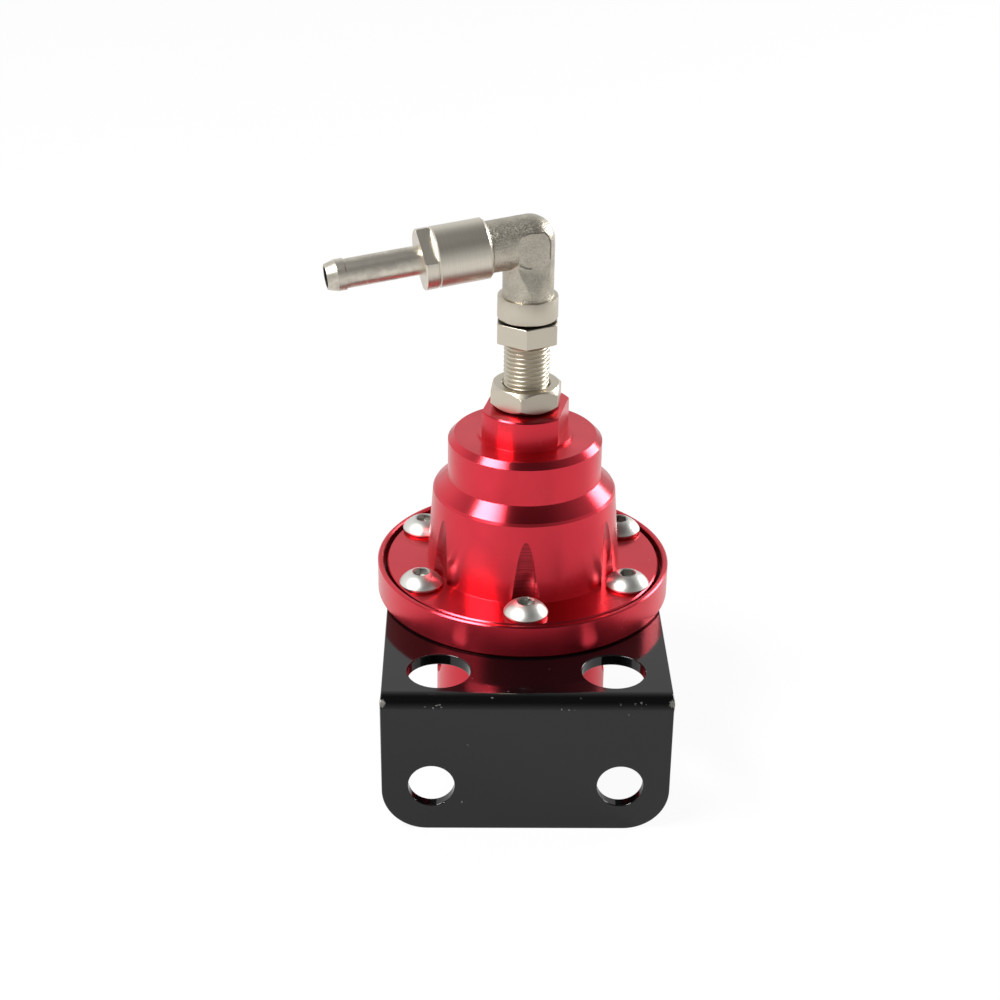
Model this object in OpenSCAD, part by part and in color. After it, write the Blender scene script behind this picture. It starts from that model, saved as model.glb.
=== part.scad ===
// Adjustable fuel pressure regulator on an L-shaped bracket, with a swivel hose elbow.
// Millimetres. +Z runs up the regulator's axis, and the bracket's front plate faces -Y.
// The origin is the middle of the return port's mouth in the bottom face.

/* [Lower body] */
// Diameter of the wide flange
flange_d = 65; // [63:0.5:70]
// Height of the flange above the bracket
flange_h = 7.5; // [7:0.1:9]
// Chamfer on the flange's lower edge
flange_edge = 0.5; // [0.2:0.1:1]
// Width of the raised rim around the bonnet
rim_w = 1.2; // [0.8:0.1:1.6]
// Chamfer on the rim's two edges
rim_edge = 0.3; // [0.1:0.05:0.4]
// Thickness of the flange under the diaphragm
floor_t = 3.6; // [3.2:0.1:4.2]
// Diameter of the round body below the flange
body_d = 38.5; // [36:0.5:40]
// Height of the round body below the flange
body_h = 32; // [30:0.5:36]
// Chamfer on the body's bottom edge
body_edge = 0.8; // [0.3:0.1:1.5]
// Free diameter of the diaphragm, above and below it
free_d = 34; // [32:0.5:35]
// Depth of the dish under the diaphragm
dish_depth = 2.6; // [2.2:0.1:3]
// Diameter of the fuel pocket around the valve seat
pocket_d = 22; // [20:0.5:24]
// Height of the pocket's floor above the bottom face
pocket_floor = 11.8; // [11.4:0.1:12.2]
// Diameter of the three ports at their thread
port_d = 8.6; // [8:0.1:9]
// Height of the two side ports
port_z = 16.5; // [16.2:0.1:18]
// Diameter of the flat milled around each side port
port_face_d = 13; // [11:0.5:14]
// Depth of that flat below the round surface
port_face_cut = 1; // [0.5:0.1:1.4]
// Chamfer at the mouth of a side port
port_mouth = 0.6; // [0.3:0.1:1]
// Depth of the return port in the bottom face
return_depth = 8.5; // [8:0.1:9]

/* [Bonnet] */
// Gap between the bonnet's flange and the rim around it
lid_gap = 0.3; // [0.1:0.05:0.4]
// Thickness of the bonnet's flange
lid_t = 2.7; // [2.4:0.1:3]
// Chamfer on the edge of the bonnet's flange
lid_edge = 0.3; // [0.1:0.05:0.5]
// Diameter of the skirt at its foot
skirt_d1 = 42.9; // [42:0.1:44]
// Diameter of the skirt at its top
skirt_d2 = 40.2; // [39:0.1:41]
// Height of the skirt
skirt_h = 18; // [17:0.5:20]
// Break on the skirt's top edge
skirt_edge = 0.3; // [0.1:0.05:0.5]
// Height of the sloping shoulder
shoulder_h = 3.1; // [2.5:0.1:4]
// Diameter of the drum
drum_d = 33.7; // [33:0.1:35]
// Height of the drum
drum_h = 9.6; // [9:0.1:11]
// Chamfer on the drum's top edge
drum_edge = 1.3; // [0.4:0.1:1.8]
// Diameter of the neck
neck_d = 20.8; // [20:0.1:22]
// Height of the neck
neck_h = 6.75; // [5.5:0.05:7.5]
// Spanner width across the neck's two flats
neck_af = 16.8; // [16:0.1:18]
// Turn of the neck's flats about the axis, in degrees
neck_turn = -13; // [-90:1:90]
// Height of the round ledge left under the flats
neck_ledge = 0.5; // [0.3:0.1:1]
// Break on the neck's top edge
neck_edge = 0.3; // [0.1:0.05:0.5]
// Diameter of the scallops around the screw heads
scallop_d = 11.2; // [10.5:0.1:11.6]
// Diameter of the bore above the spring
button_bore_d = 25.2; // [24.4:0.1:26]
// Height of the wide spring chamber above the diaphragm
chamber_h = 14; // [12:0.5:15]
// Thickness of the roof over the spring chamber
roof_t = 3.6; // [3.4:0.1:4]

/* [Bonnet screws] */
// Number of screws around the flange
screw_count = 6; // [4:1:6]
// Distance of a screw's centre from the rim around the bonnet
screw_in = 5.3; // [5:0.1:5.8]
// Thread diameter of the screws
screw_d = 5; // [4:0.5:5]
// Length of a screw under its head
screw_l = 6.5; // [5.5:0.1:6.8]
// Diameter of a screw head
head_d = 9.5; // [8.5:0.1:10]
// Height of a screw head
head_h = 3.2; // [2.8:0.05:3.6]
// Height of the bevel under the head's edge
head_foot = 0.55; // [0.3:0.05:0.7]
// Height of the head's straight edge
head_edge = 0.3; // [0.2:0.1:0.6]
// Width across flats of the hexagon socket
socket_af = 3; // [2.5:0.1:3.5]
// Depth of the hexagon socket
socket_depth = 1.6; // [1.2:0.1:2]

/* [Diaphragm and valve] */
// Thickness of the diaphragm
dia_t = 0.8; // [0.6:0.1:1]
// Height of the diaphragm's convolution
fold_h = 1.6; // [1:0.1:2.5]
// Diameter of the plates on both sides of the diaphragm
plate_d = 22.8; // [22.4:0.1:23.6]
// Thickness of the lower plate
lower_plate_t = 1.4; // [1.2:0.1:1.8]
// Thickness of the upper plate
upper_plate_t = 1.5; // [1.2:0.1:2]
// Diameter of the stem that joins the plates
stem_d = 6; // [5:0.1:6]
// Width across flats of the plate nut
plate_nut_af = 10; // [9:0.1:11]
// Height of the plate nut
plate_nut_h = 3; // [2.5:0.1:3.5]
// Diameter of the valve ball
ball_d = 6; // [5:0.1:6.4]
// Metal left above the ball in its holder
ball_cover = 0.55; // [0.4:0.05:0.8]
// Diameter of the ball holder
holder_d = 10.4; // [10:0.1:12]
// Bore of the valve seat
seat_bore = 4.4; // [3.5:0.1:4.6]
// Diameter of the valve seat's column
seat_d = 9; // [8.5:0.1:10]
// Width across flats of the seat's hexagon
seat_af = 12; // [11.5:0.1:13]
// Height of the seat's hexagon
seat_hex_h = 2.5; // [2:0.1:3]
// Thickness of the seal under the seat
seat_seal_t = 0.8; // [0.6:0.1:1]
// Thread diameter of the seat
seat_thread_d = 8; // [7:0.1:8.2]

/* [Spring and adjuster] */
// Wire diameter of the main spring
wire_d = 2.2; // [1.8:0.1:2.4]
// Outside diameter of the main spring
spring_d = 22; // [21:0.1:22.4]
// Length of the main spring as set
spring_l = 23.1; // [22:0.1:23.2]
// Turns of the main spring
spring_turns = 6; // [5:0.5:7]
// Height of the guides inside the spring's ends
guide_h = 2.5; // [2:0.1:3]
// Gap between a guide and the spring
guide_gap = 0.3; // [0.2:0.05:0.5]
// Thickness of the spring button
button_t = 3; // [2.5:0.1:3]
// Thread diameter of the adjusting screw
stud_d = 9.84; // [9.4:0.02:10]
// Gap on the radius between a thread and its tapped hole
thread_fit = 0.05; // [0.02:0.01:0.08]
// Length of thread that shows above the lock nut
thread_show = 10; // [9:0.5:14]
// Spanner width of the adjusting screw
stud_af = 12.7; // [12:0.1:13]
// Height of the adjusting screw's hexagon
stud_hex_h = 4.5; // [4:0.1:6]
// Turn of the adjusting screw's hexagon, in degrees
stud_turn = -2; // [-30:1:30]
// Bore through the adjusting screw
stud_bore = 3.2; // [2.5:0.1:3.4]
// Chamfer at the lower end of the adjusting screw
stud_tip = 0.8; // [0.4:0.1:1.2]
// Undercut at the end of the thread, below the hexagon
thread_relief = 0.6; // [0.3:0.1:1]
// Spanner width of the lock nut
nut_af = 14.4; // [14:0.1:15.5]
// Height of the lock nut
nut_h = 4.8; // [4:0.1:6]
// Turn of the lock nut, in degrees
nut_turn = -8; // [-30:1:30]
// Width across the lock nut's flat end faces
nut_face_d = 14.1; // [13.5:0.1:14.3]
// Angle of the lock nut's bevelled corners, in degrees
nut_bevel = 42; // [30:1:50]
// Countersink at both ends of the lock nut's thread
nut_sink = 0.4; // [0.2:0.1:0.6]
// Thickness of the seal ring under the lock nut
nut_seal_t = 0.45; // [0.4:0.05:1.2]
// Diameter of the seal ring under the lock nut
nut_seal_d = 11.8; // [11.4:0.1:14]
// Gap between that ring and the thread inside it
nut_seal_gap = 0.2; // [0.1:0.05:0.4]

/* [Swivel elbow] */
// Gap between the elbow and the adjusting screw's hexagon
swivel_gap = 0.5; // [0.3:0.1:1]
// Gap on the radius between the swivel spigot and its socket
swivel_fit = 0.05; // [0.02:0.01:0.08]
// Diameter of the swivel spigot
spigot_d = 8; // [7.6:0.1:8.2]
// Length of the swivel spigot
spigot_l = 7.7; // [7.5:0.1:9]
// Width of the seal groove
seal_groove_w = 1.8; // [1.6:0.1:2]
// Cord diameter of the swivel seal
seal_cord = 1.1; // [0.9:0.1:1.2]
// Thickness of the swivel clip
clip_t = 0.8; // [0.6:0.1:1]
// Depth of the clip's groove on each side
clip_depth = 0.7; // [0.5:0.1:0.8]
// Diameter of the elbow's turned collar
collar_d = 13; // [12.5:0.1:14]
// Height of the elbow's turned collar
collar_h = 5.1; // [4.5:0.1:6]
// Chamfer on the collar's edges
collar_edge = 0.35; // [0.2:0.05:0.6]
// Diameter of the elbow's two legs
leg_d = 11; // [10.5:0.1:12]
// Height of the elbow's bend above the collar
bend_h = 11.9; // [11:0.1:14]
// Length of the side leg from the axis
leg_l = 9; // [8:0.1:12]
// Bore of the side leg
leg_bore = 2.7; // [2:0.1:3]
// Turn of the side leg about the axis, in degrees
leg_turn = 14.3; // [-180:0.1:180]
// Droop of the side leg below level, in degrees
leg_droop = 6.2; // [0:0.1:45]
// Width across the two flat pads at the bend
pad_across = 8.4; // [8:0.1:9]
// Half width of a pad
pad_half = 3.6; // [3:0.1:4]
// Height of a pad above the bend's centre
pad_up = 2.8; // [2:0.1:3.5]
// Height of a pad below the bend's centre
pad_down = 4.9; // [4:0.1:6]
// Corner radius of a pad
pad_r = 2.6; // [1.5:0.1:2.8]

/* [Hose nipple] */
// Diameter of the nipple's sleeve
sleeve_d = 12.8; // [12.2:0.1:13.5]
// Length of the sleeve
sleeve_l = 11.5; // [10:0.1:14]
// Chamfer on the sleeve's edge by the elbow
sleeve_edge = 0.6; // [0.3:0.1:1]
// Spanner width across the two flats of the nipple's collar
grip_af = 9.4; // [8.6:0.1:11]
// Length of that collar
grip_l = 2.9; // [2:0.1:4]
// Turn of its flats about the nipple's axis, in degrees
grip_turn = -39; // [-90:1:90]
// Break on the edges of the collar and of the sleeve beside it
grip_edge = 0.2; // [0.1:0.05:0.4]
// Diameter of the hose tube
tube_d = 6.1; // [5.6:0.1:6.4]
// Length of the hose tube
tube_l = 15.9; // [12:0.1:20]
// Diameter of the bulge that holds the hose
barb_d = 6.6; // [6.5:0.1:7.4]
// Length of the bulge
barb_l = 1.7; // [1:0.1:3]
// Length of the tapered nose
nose_l = 2.15; // [1.5:0.05:3]
// Diameter of the nose at its tip
nose_d = 5.3; // [4.8:0.1:5.6]
// Bore of the nipple
nipple_bore = 4.1; // [3:0.1:4.4]
// Diameter of the spigot that the sleeve screws on
joint_d = 9; // [8:0.1:9.4]
// Length of that spigot
joint_l = 5.5; // [4:0.1:7]
// Gap between the elbow's leg and the sleeve
joint_gap = 0.1; // [0.05:0.05:0.3]

/* [Bracket] */
// Thickness of the bracket's plate
plate_t = 2.5; // [2:0.1:3]
// Width of the bracket
bracket_w = 60.3; // [58:0.1:63]
// Distance of the bracket's front face from the axis
bracket_reach = 48.8; // [47:0.1:56]
// Outside radius of the bend
bend_r = 3.2; // [3.1:0.1:5]
// Corner radius at the bottom of the front plate
corner_r = 9.5; // [5:0.5:10]
// Diameter of the two holes in the top plate
top_hole_d = 13.2; // [12:0.1:13.6]
// Distance between the two holes in the top plate
top_hole_gap = 36.6; // [34:0.1:40]
// Distance of those holes from the axis
top_hole_y = 37.5; // [37:0.1:38]
// Diameter of the two holes in the front plate
front_hole_d = 9.7; // [8:0.1:10.5]
// Distance between the two holes in the front plate
front_hole_gap = 39.5; // [34:0.5:42]
// Height of those holes above the bottom edge
front_hole_z = 10.75; // [9:0.25:14]
// Gap between the lower body and the bracket's large hole
body_gap = 0.4; // [0.2:0.1:0.6]
// Thread diameter of the bracket's screws
fix_d = 4; // [3:0.5:4]
// Head diameter of the bracket's screws
fix_head_d = 7.6; // [7:0.1:8]
// Head height of the bracket's screws
fix_head_h = 2.2; // [1.8:0.1:2.6]
// Height of the bevel under the edge of those heads
fix_head_foot = 0.3; // [0.2:0.05:0.4]
// Height of the straight edge of those heads
fix_head_edge = 0.3; // [0.2:0.1:0.5]
// Length of thread of the bracket's screws in the flange
fix_grip = 2.6; // [2.2:0.1:2.8]
// Socket width across flats of the bracket's screws
fix_socket_af = 2.5; // [2:0.1:2.5]
// Socket depth of the bracket's screws
fix_socket_depth = 1.3; // [1:0.1:1.5]

/* [Hidden] */
$fn = 96;
eps = 1;
// gap that keeps two touching pieces of different bodies apart
touch = 0.05;
// clearance on the radius around screws that pass through a piece
pass = 0.25;
// depth of a blind tapped hole past the end of its screw
tap_over = 0.4;
// share of the full dome radius that leaves a small flat around a socket
dome_share = 0.94;

red = [0.78, 0.09, 0.14];
nickel = [0.72, 0.70, 0.65];
steel = [0.78, 0.78, 0.77];
dark_rubber = [0.09, 0.09, 0.09];
brass_tone = [0.78, 0.62, 0.32];
black_paint = [0.06, 0.06, 0.065];

// heights along the axis, from the bottom up
z_flange = body_h + flange_h;
z_dia = body_h + floor_t;
z_lid = z_dia + dia_t;
z_seat_face = z_lid + lid_t;
z_skirt = z_seat_face + skirt_h;
z_shoulder = z_skirt + shoulder_h;
z_drum = z_shoulder + drum_h;
z_neck = z_drum + neck_h;
z_roof = z_drum - roof_t;
z_nut = z_neck + nut_seal_t;
z_nut_top = z_nut + nut_h;
z_stud_hex = z_nut_top + thread_show;
z_spigot = z_stud_hex + stud_hex_h;
z_collar = z_spigot + swivel_gap;
z_leg = z_collar + collar_h;
z_bend = z_leg + bend_h;

// valve and spring
holder_lip = 0.85;
stem_over = 0.6;
stem_edge = 0.5;
fold_gap = 0.3;
seat_foot_gap = 0.3;
seat_land_w = 0.7;
seat_taper_h = 2.5;
seat_seal_in = 0.4;
closed_turns = 0.75;
closed_pitch = 0.9 * wire_d;
z_ball = z_dia - ball_cover - ball_d / 2;
z_seat = z_ball - touch - sqrt(pow(ball_d / 2, 2) - pow(seat_bore / 2, 2));
z_holder = z_ball - holder_lip;
z_spring = z_lid + upper_plate_t;
z_button = z_spring + spring_l;
z_stud = z_button + button_t + touch;
spring_r = (spring_d - wire_d) / 2;
guide_d = spring_d - 2 * wire_d - 2 * guide_gap;

// swivel
seal_up = 2.6;
seal_room = 0.03;
clip_down = 2;
clip_play = 0.1;
spigot_edge = 0.4;
end_gap = 0.5;
z_seal = z_collar + seal_up;
z_clip = z_spigot + spigot_l - clip_down;
socket_r = spigot_d / 2 + swivel_fit;
z_socket = z_spigot + spigot_l + end_gap;

// stations along the elbow's side leg
s_sleeve = leg_l + joint_gap;
s_grip = s_sleeve + sleeve_l;
s_tube = s_grip + grip_l;
s_barb = s_tube + tube_l;
s_nose = s_barb + barb_l;
s_tip = s_nose + nose_l;

rim_in = flange_d / 2 - rim_w;
lid_r = rim_in - lid_gap;
// circles of the bonnet's screws and of the bracket's screws
screw_pcd = 2 * (rim_in - screw_in);
fix_pcd = (body_d + 2 * body_gap + bracket_w) / 2;

// places children around the screw circle, the first one at the front
module around_screws() {
    for (i = [0 : screw_count - 1])
        rotate([0, 0, -90 + i * 360 / screw_count])
            translate([screw_pcd / 2, 0, 0])
                children();
}

// places children at the bracket's two screws
module at_fixings() {
    for (side = [0, 180])
        rotate([0, 0, side])
            translate([fix_pcd / 2, 0, 0])
                children();
}

// places children along the elbow's side leg, +Z pointing outwards
module along_leg() {
    translate([0, 0, z_bend])
        rotate([0, 0, leg_turn])
            rotate([0, -90 - leg_droop, 0])
                children();
}

// hexagon prism with one corner at the front
module hex_prism(af, h) {
    rotate([0, 0, 30])
        cylinder(d = af / cos(30), h = h, $fn = 6);
}

// plain ring
module ring(d_out, d_in, h) {
    difference() {
        cylinder(d = d_out, h = h);
        translate([0, 0, -eps])
            cylinder(d = d_in, h = h + 2 * eps);
    }
}

// domed screw with a hexagon socket, seated at z = 0 with its head up
module domed_screw(d, length, dk, k, foot, edge, af, depth) {
    dome_z = foot + edge;
    dome_r = (pow(dk / 2, 2) + pow(k - dome_z, 2)) / (2 * (k - dome_z)) * dome_share;
    difference() {
        union() {
            intersection() {
                union() {
                    cylinder(d1 = dk - 2 * foot, d2 = dk, h = foot);
                    translate([0, 0, foot])
                        cylinder(d = dk, h = k - foot);
                }
                translate([0, 0, dome_z - sqrt(pow(dome_r, 2) - pow(dk / 2, 2))])
                    sphere(r = dome_r);
            }
            translate([0, 0, -length])
                cylinder(d = d, h = length + dome_z);
        }
        translate([0, 0, k - depth])
            hex_prism(af, depth + eps);
    }
}

// turned base: flange with raised rim, round body, fuel pocket and three ports
module lower_body() {
    color(red)
    difference() {
        rotate_extrude()
            polygon([
                [0, 0],
                [body_d / 2 - body_edge, 0],
                [body_d / 2, body_edge],
                [body_d / 2, body_h],
                [flange_d / 2 - flange_edge, body_h],
                [flange_d / 2, body_h + flange_edge],
                [flange_d / 2, z_flange - rim_edge],
                [flange_d / 2 - rim_edge, z_flange],
                [rim_in + rim_edge, z_flange],
                [rim_in, z_flange - rim_edge],
                [rim_in, z_dia],
                [0, z_dia]
            ]);
        translate([0, 0, z_dia - dish_depth])
            cylinder(d = free_d, h = dish_depth + eps);
        translate([0, 0, pocket_floor])
            cylinder(d = pocket_d, h = z_dia - pocket_floor);
        translate([0, 0, -eps])
            cylinder(d = port_d, h = return_depth + eps);
        translate([0, 0, return_depth - eps])
            cylinder(d = seat_thread_d + 2 * thread_fit, h = pocket_floor - return_depth + 2 * eps);
        for (side = [0, 180])
            rotate([0, 0, side])
                side_port();
        around_screws()
            translate([0, 0, body_h - eps])
                cylinder(d = screw_d + 2 * thread_fit, h = floor_t + 2 * eps);
        at_fixings()
            translate([0, 0, body_h - eps])
                cylinder(d = fix_d + 2 * thread_fit, h = fix_grip + tap_over + eps);
    }
}

// one side port: milled flat, chamfered mouth and threaded hole into the pocket
module side_port() {
    face_x = body_d / 2 - port_face_cut;
    translate([0, 0, port_z])
        rotate([0, 90, 0]) {
            cylinder(d = port_d, h = body_d);
            translate([0, 0, face_x])
                cylinder(d = port_face_d, h = body_d);
            translate([0, 0, face_x - port_mouth])
                cylinder(d1 = port_d, d2 = port_d + 2 * (port_mouth + eps), h = port_mouth + eps);
        }
}

// turned cover: flange disc, scalloped skirt, shoulder, drum and neck with two flats
module bonnet() {
    color(red)
    difference() {
        union() {
            bonnet_flange();
            bonnet_tower();
        }
        around_screws()
            translate([0, 0, z_lid - eps])
                cylinder(d = screw_d + 2 * pass, h = lid_t + 2 * eps);
        spring_chamber();
        translate([0, 0, z_roof - eps])
            cylinder(d = stud_d + 2 * thread_fit, h = z_neck - z_roof + 2 * eps);
    }
}

// flat disc that the screws clamp
module bonnet_flange() {
    rotate_extrude()
        polygon([
            [0, z_lid],
            [lid_r, z_lid],
            [lid_r, z_seat_face - lid_edge],
            [lid_r - lid_edge, z_seat_face],
            [0, z_seat_face]
        ]);
}

// skirt with a scallop at each screw head, shoulder, drum and neck
module bonnet_tower() {
    slope = (skirt_d1 - skirt_d2) / 2 / skirt_h;
    shoulder_step = (skirt_d2 - drum_d) / 2 / shoulder_h * skirt_edge;
    difference() {
        rotate_extrude()
            polygon([
                [0, z_lid + lid_t / 2],
                [skirt_d1 / 2 + slope * lid_t / 2, z_lid + lid_t / 2],
                [skirt_d2 / 2 + slope * skirt_edge, z_skirt - skirt_edge],
                [skirt_d2 / 2 - shoulder_step, z_skirt + skirt_edge],
                [drum_d / 2, z_shoulder],
                [drum_d / 2, z_drum - drum_edge],
                [drum_d / 2 - drum_edge, z_drum],
                [neck_d / 2, z_drum],
                [neck_d / 2, z_neck - neck_edge],
                [neck_d / 2 - neck_edge, z_neck],
                [0, z_neck]
            ]);
        around_screws()
            translate([0, 0, z_lid])
                rotate([0, 0, 180])
                    rotate_extrude()
                        square([scallop_d / 2, lid_t + skirt_h]);
        neck_flats();
    }
}

// the two blocks of metal that the spanner flats take off the neck
module neck_flats() {
    for (side = [0, 180])
        rotate([0, 0, neck_turn + side])
            translate([neck_af / 2, -neck_d / 2, z_drum + neck_ledge])
                cube([neck_d, neck_d, neck_h]);
}

// hollow inside the bonnet: wide below, then a bore for the spring button
module spring_chamber() {
    z_cone = z_lid + chamber_h;
    cone_h = (free_d - button_bore_d) / 2;
    rotate_extrude()
        polygon([
            [0, z_lid - eps],
            [free_d / 2, z_lid - eps],
            [free_d / 2, z_cone],
            [button_bore_d / 2, z_cone + cone_h],
            [button_bore_d / 2, z_roof],
            [0, z_roof]
        ]);
}

// domed socket screws that clamp the bonnet, one group
module bonnet_screws() {
    color(steel)
    around_screws()
        translate([0, 0, z_seat_face])
            domed_screw(screw_d, screw_l, head_d, head_h, head_foot, head_edge, socket_af,
                socket_depth);
}

// rubber disc with one raised convolution between plates and rim
module diaphragm() {
    r0 = plate_d / 2 + fold_gap;
    r1 = free_d / 2 - fold_gap;
    steps = 10;
    fold = [for (i = [0 : steps])
        [r0 + (r1 - r0) * i / steps, fold_h * sin(180 * i / steps)]];
    upper = [for (p = fold) [p[0], z_lid + p[1]]];
    lower = [for (i = [steps : -1 : 0]) [fold[i][0], z_dia + fold[i][1]]];
    hole_r = stem_d / 2 + touch;
    color(dark_rubber)
    difference() {
        rotate_extrude()
            polygon(concat(
                [[hole_r, z_lid]],
                upper,
                [[lid_r, z_lid], [lid_r, z_dia]],
                lower,
                [[hole_r, z_dia]]));
        around_screws()
            translate([0, 0, z_dia - eps])
                cylinder(d = screw_d + 2 * pass, h = dia_t + 2 * eps);
    }
}

// valve holder under the diaphragm, with the stem that clamps the plates
module lower_plate() {
    stem_top = z_spring + guide_h + plate_nut_h + stem_over;
    color(steel)
    difference() {
        rotate_extrude()
            polygon([
                [0, z_holder],
                [holder_d / 2, z_holder],
                [holder_d / 2, z_dia - lower_plate_t],
                [plate_d / 2, z_dia - lower_plate_t],
                [plate_d / 2, z_dia],
                [stem_d / 2, z_dia],
                [stem_d / 2, stem_top - stem_edge],
                [stem_d / 2 - stem_edge, stem_top],
                [0, stem_top]
            ]);
        translate([0, 0, z_holder - eps])
            cylinder(d = ball_d + 2 * touch, h = z_ball + ball_d / 2 - z_holder + eps);
    }
}

// spring plate on the diaphragm, with a guide inside the spring
module upper_plate() {
    color(steel)
    difference() {
        union() {
            translate([0, 0, z_lid])
                cylinder(d = plate_d, h = upper_plate_t);
            translate([0, 0, z_lid])
                cylinder(d = guide_d, h = upper_plate_t + guide_h);
        }
        translate([0, 0, z_lid - eps])
            cylinder(d = stem_d + 2 * touch, h = upper_plate_t + guide_h + 2 * eps);
    }
}

// nut that clamps the two plates on the stem
module plate_nut() {
    color(steel)
    translate([0, 0, z_spring + guide_h])
        difference() {
            hex_prism(plate_nut_af, plate_nut_h);
            translate([0, 0, -eps])
                cylinder(d = stem_d + 2 * touch, h = plate_nut_h + 2 * eps);
        }
}

// steel ball that closes the seat
module valve_ball() {
    color(steel)
    translate([0, 0, z_ball])
        sphere(d = ball_d);
}

// brass seat, screwed into the pocket's floor over the return port
module valve_seat() {
    z_foot = return_depth + seat_foot_gap;
    z_hex = pocket_floor + seat_seal_t;
    land_r = seat_bore / 2 + seat_land_w;
    color(brass_tone)
    difference() {
        union() {
            translate([0, 0, z_hex])
                hex_prism(seat_af, seat_hex_h);
            rotate_extrude()
                polygon([
                    [0, z_foot],
                    [seat_thread_d / 2, z_foot],
                    [seat_thread_d / 2, z_hex + eps],
                    [seat_d / 2, z_hex + eps],
                    [seat_d / 2, z_seat - seat_taper_h],
                    [land_r, z_seat],
                    [0, z_seat]
                ]);
        }
        translate([0, 0, z_foot - eps])
            cylinder(d = seat_bore, h = z_seat - z_foot + 2 * eps);
    }
}

// flat sealing ring under the seat's hexagon
module seat_seal() {
    color(dark_rubber)
    translate([0, 0, pocket_floor])
        ring(seat_af - seat_seal_in, seat_thread_d + 2 * touch, seat_seal_t);
}

// height of the coil's centre line after a share t of its turns, with closed ends
function coil_z(t) =
    let (closed = closed_turns / spring_turns,
        end_h = closed_turns * closed_pitch,
        top = spring_l - wire_d)
    t < closed ? end_h * t / closed
    : t > 1 - closed ? top - end_h * (1 - t) / closed
    : end_h + (top - 2 * end_h) * (t - closed) / (1 - 2 * closed);

// coil spring between the two plates
module main_spring() {
    sides = 10;
    steps = round(spring_turns * 24);
    pts = [for (i = [0 : steps], j = [0 : sides - 1])
        let (t = i / steps,
            a = 360 * spring_turns * t,
            b = 360 * j / sides,
            r = spring_r + wire_d / 2 * cos(b))
        [r * cos(a), r * sin(a), z_spring + wire_d / 2 + coil_z(t) + wire_d / 2 * sin(b)]];
    walls = [for (i = [0 : steps - 1], j = [0 : sides - 1])
        let (k = (j + 1) % sides)
        [i * sides + j, i * sides + k, (i + 1) * sides + k, (i + 1) * sides + j]];
    first = [for (j = [sides - 1 : -1 : 0]) j];
    last = [for (j = [0 : sides - 1]) steps * sides + j];
    color(steel)
    polyhedron(points = pts, faces = concat(walls, [first, last]), convexity = 10);
}

// upper spring plate with a guide inside the spring and an air hole
module spring_button() {
    color(steel)
    difference() {
        union() {
            translate([0, 0, z_button])
                cylinder(d = plate_d, h = button_t);
            translate([0, 0, z_button - guide_h])
                cylinder(d = guide_d, h = guide_h + button_t);
        }
        translate([0, 0, z_button - guide_h - eps])
            cylinder(d = stud_bore, h = guide_h + button_t + 2 * eps);
    }
}

// hollow stud: thread, hexagon and the spigot that the elbow swivels on
module adjusting_screw() {
    r = stud_d / 2;
    spigot_top = z_spigot + spigot_l;
    seal_r = socket_r - seal_cord - touch;
    clip_r = spigot_d / 2 - clip_depth;
    color(nickel)
    difference() {
        union() {
            translate([0, 0, z_stud_hex])
                rotate([0, 0, stud_turn])
                    hex_prism(stud_af, stud_hex_h);
            rotate_extrude()
                polygon([
                    [0, z_stud],
                    [r - stud_tip, z_stud],
                    [r, z_stud + stud_tip],
                    [r, z_stud_hex - 2 * thread_relief],
                    [r - thread_relief, z_stud_hex - thread_relief],
                    [r - thread_relief, z_stud_hex + eps],
                    [spigot_d / 2, z_stud_hex + eps],
                    [spigot_d / 2, z_seal - seal_groove_w / 2],
                    [seal_r, z_seal - seal_groove_w / 2],
                    [seal_r, z_seal + seal_groove_w / 2],
                    [spigot_d / 2, z_seal + seal_groove_w / 2],
                    [spigot_d / 2, z_clip - clip_t / 2 - clip_play],
                    [clip_r, z_clip - clip_t / 2 - clip_play],
                    [clip_r, z_clip + clip_t / 2 + clip_play],
                    [spigot_d / 2, z_clip + clip_t / 2 + clip_play],
                    [spigot_d / 2, spigot_top - spigot_edge],
                    [spigot_d / 2 - spigot_edge, spigot_top],
                    [0, spigot_top]
                ]);
        }
        translate([0, 0, z_stud - eps])
            cylinder(d = stud_bore, h = spigot_top - z_stud + 2 * eps);
    }
}

// flat seal ring between the neck and the lock nut
module lock_nut_seal() {
    color(dark_rubber)
    translate([0, 0, z_neck])
        ring(nut_seal_d, stud_d + 2 * nut_seal_gap, nut_seal_t);
}

// thin hexagon nut, chamfered on both sides
module lock_nut() {
    corner_r1 = nut_af / 2 / cos(30);
    drop = (corner_r1 - nut_face_d / 2) * tan(nut_bevel);
    bore = stud_d + 2 * thread_fit;
    color(nickel)
    translate([0, 0, z_nut])
        difference() {
            intersection() {
                rotate([0, 0, nut_turn])
                    hex_prism(nut_af, nut_h);
                rotate_extrude()
                    polygon([
                        [0, 0],
                        [nut_face_d / 2, 0],
                        [corner_r1, drop],
                        [corner_r1, nut_h - drop],
                        [nut_face_d / 2, nut_h],
                        [0, nut_h]
                    ]);
            }
            translate([0, 0, -eps])
                cylinder(d = bore, h = nut_h + 2 * eps);
            translate([0, 0, nut_h - nut_sink])
                cylinder(d1 = bore, d2 = bore + 2 * (nut_sink + eps), h = nut_sink + eps);
            translate([0, 0, -eps])
                cylinder(d1 = bore + 2 * (nut_sink + eps), d2 = bore, h = nut_sink + eps);
        }
}

// round seal ring in the spigot's groove
module swivel_seal() {
    color(dark_rubber)
    translate([0, 0, z_seal])
        rotate_extrude()
            translate([socket_r - seal_cord / 2 - seal_room, 0])
                circle(d = seal_cord, $fn = 32);
}

// ring that keeps the elbow on the spigot
module swivel_clip() {
    color(steel)
    translate([0, 0, z_clip - clip_t / 2])
        ring(spigot_d + 2 * (clip_depth - clip_play), spigot_d - 2 * (clip_depth - clip_play), clip_t);
}

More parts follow.
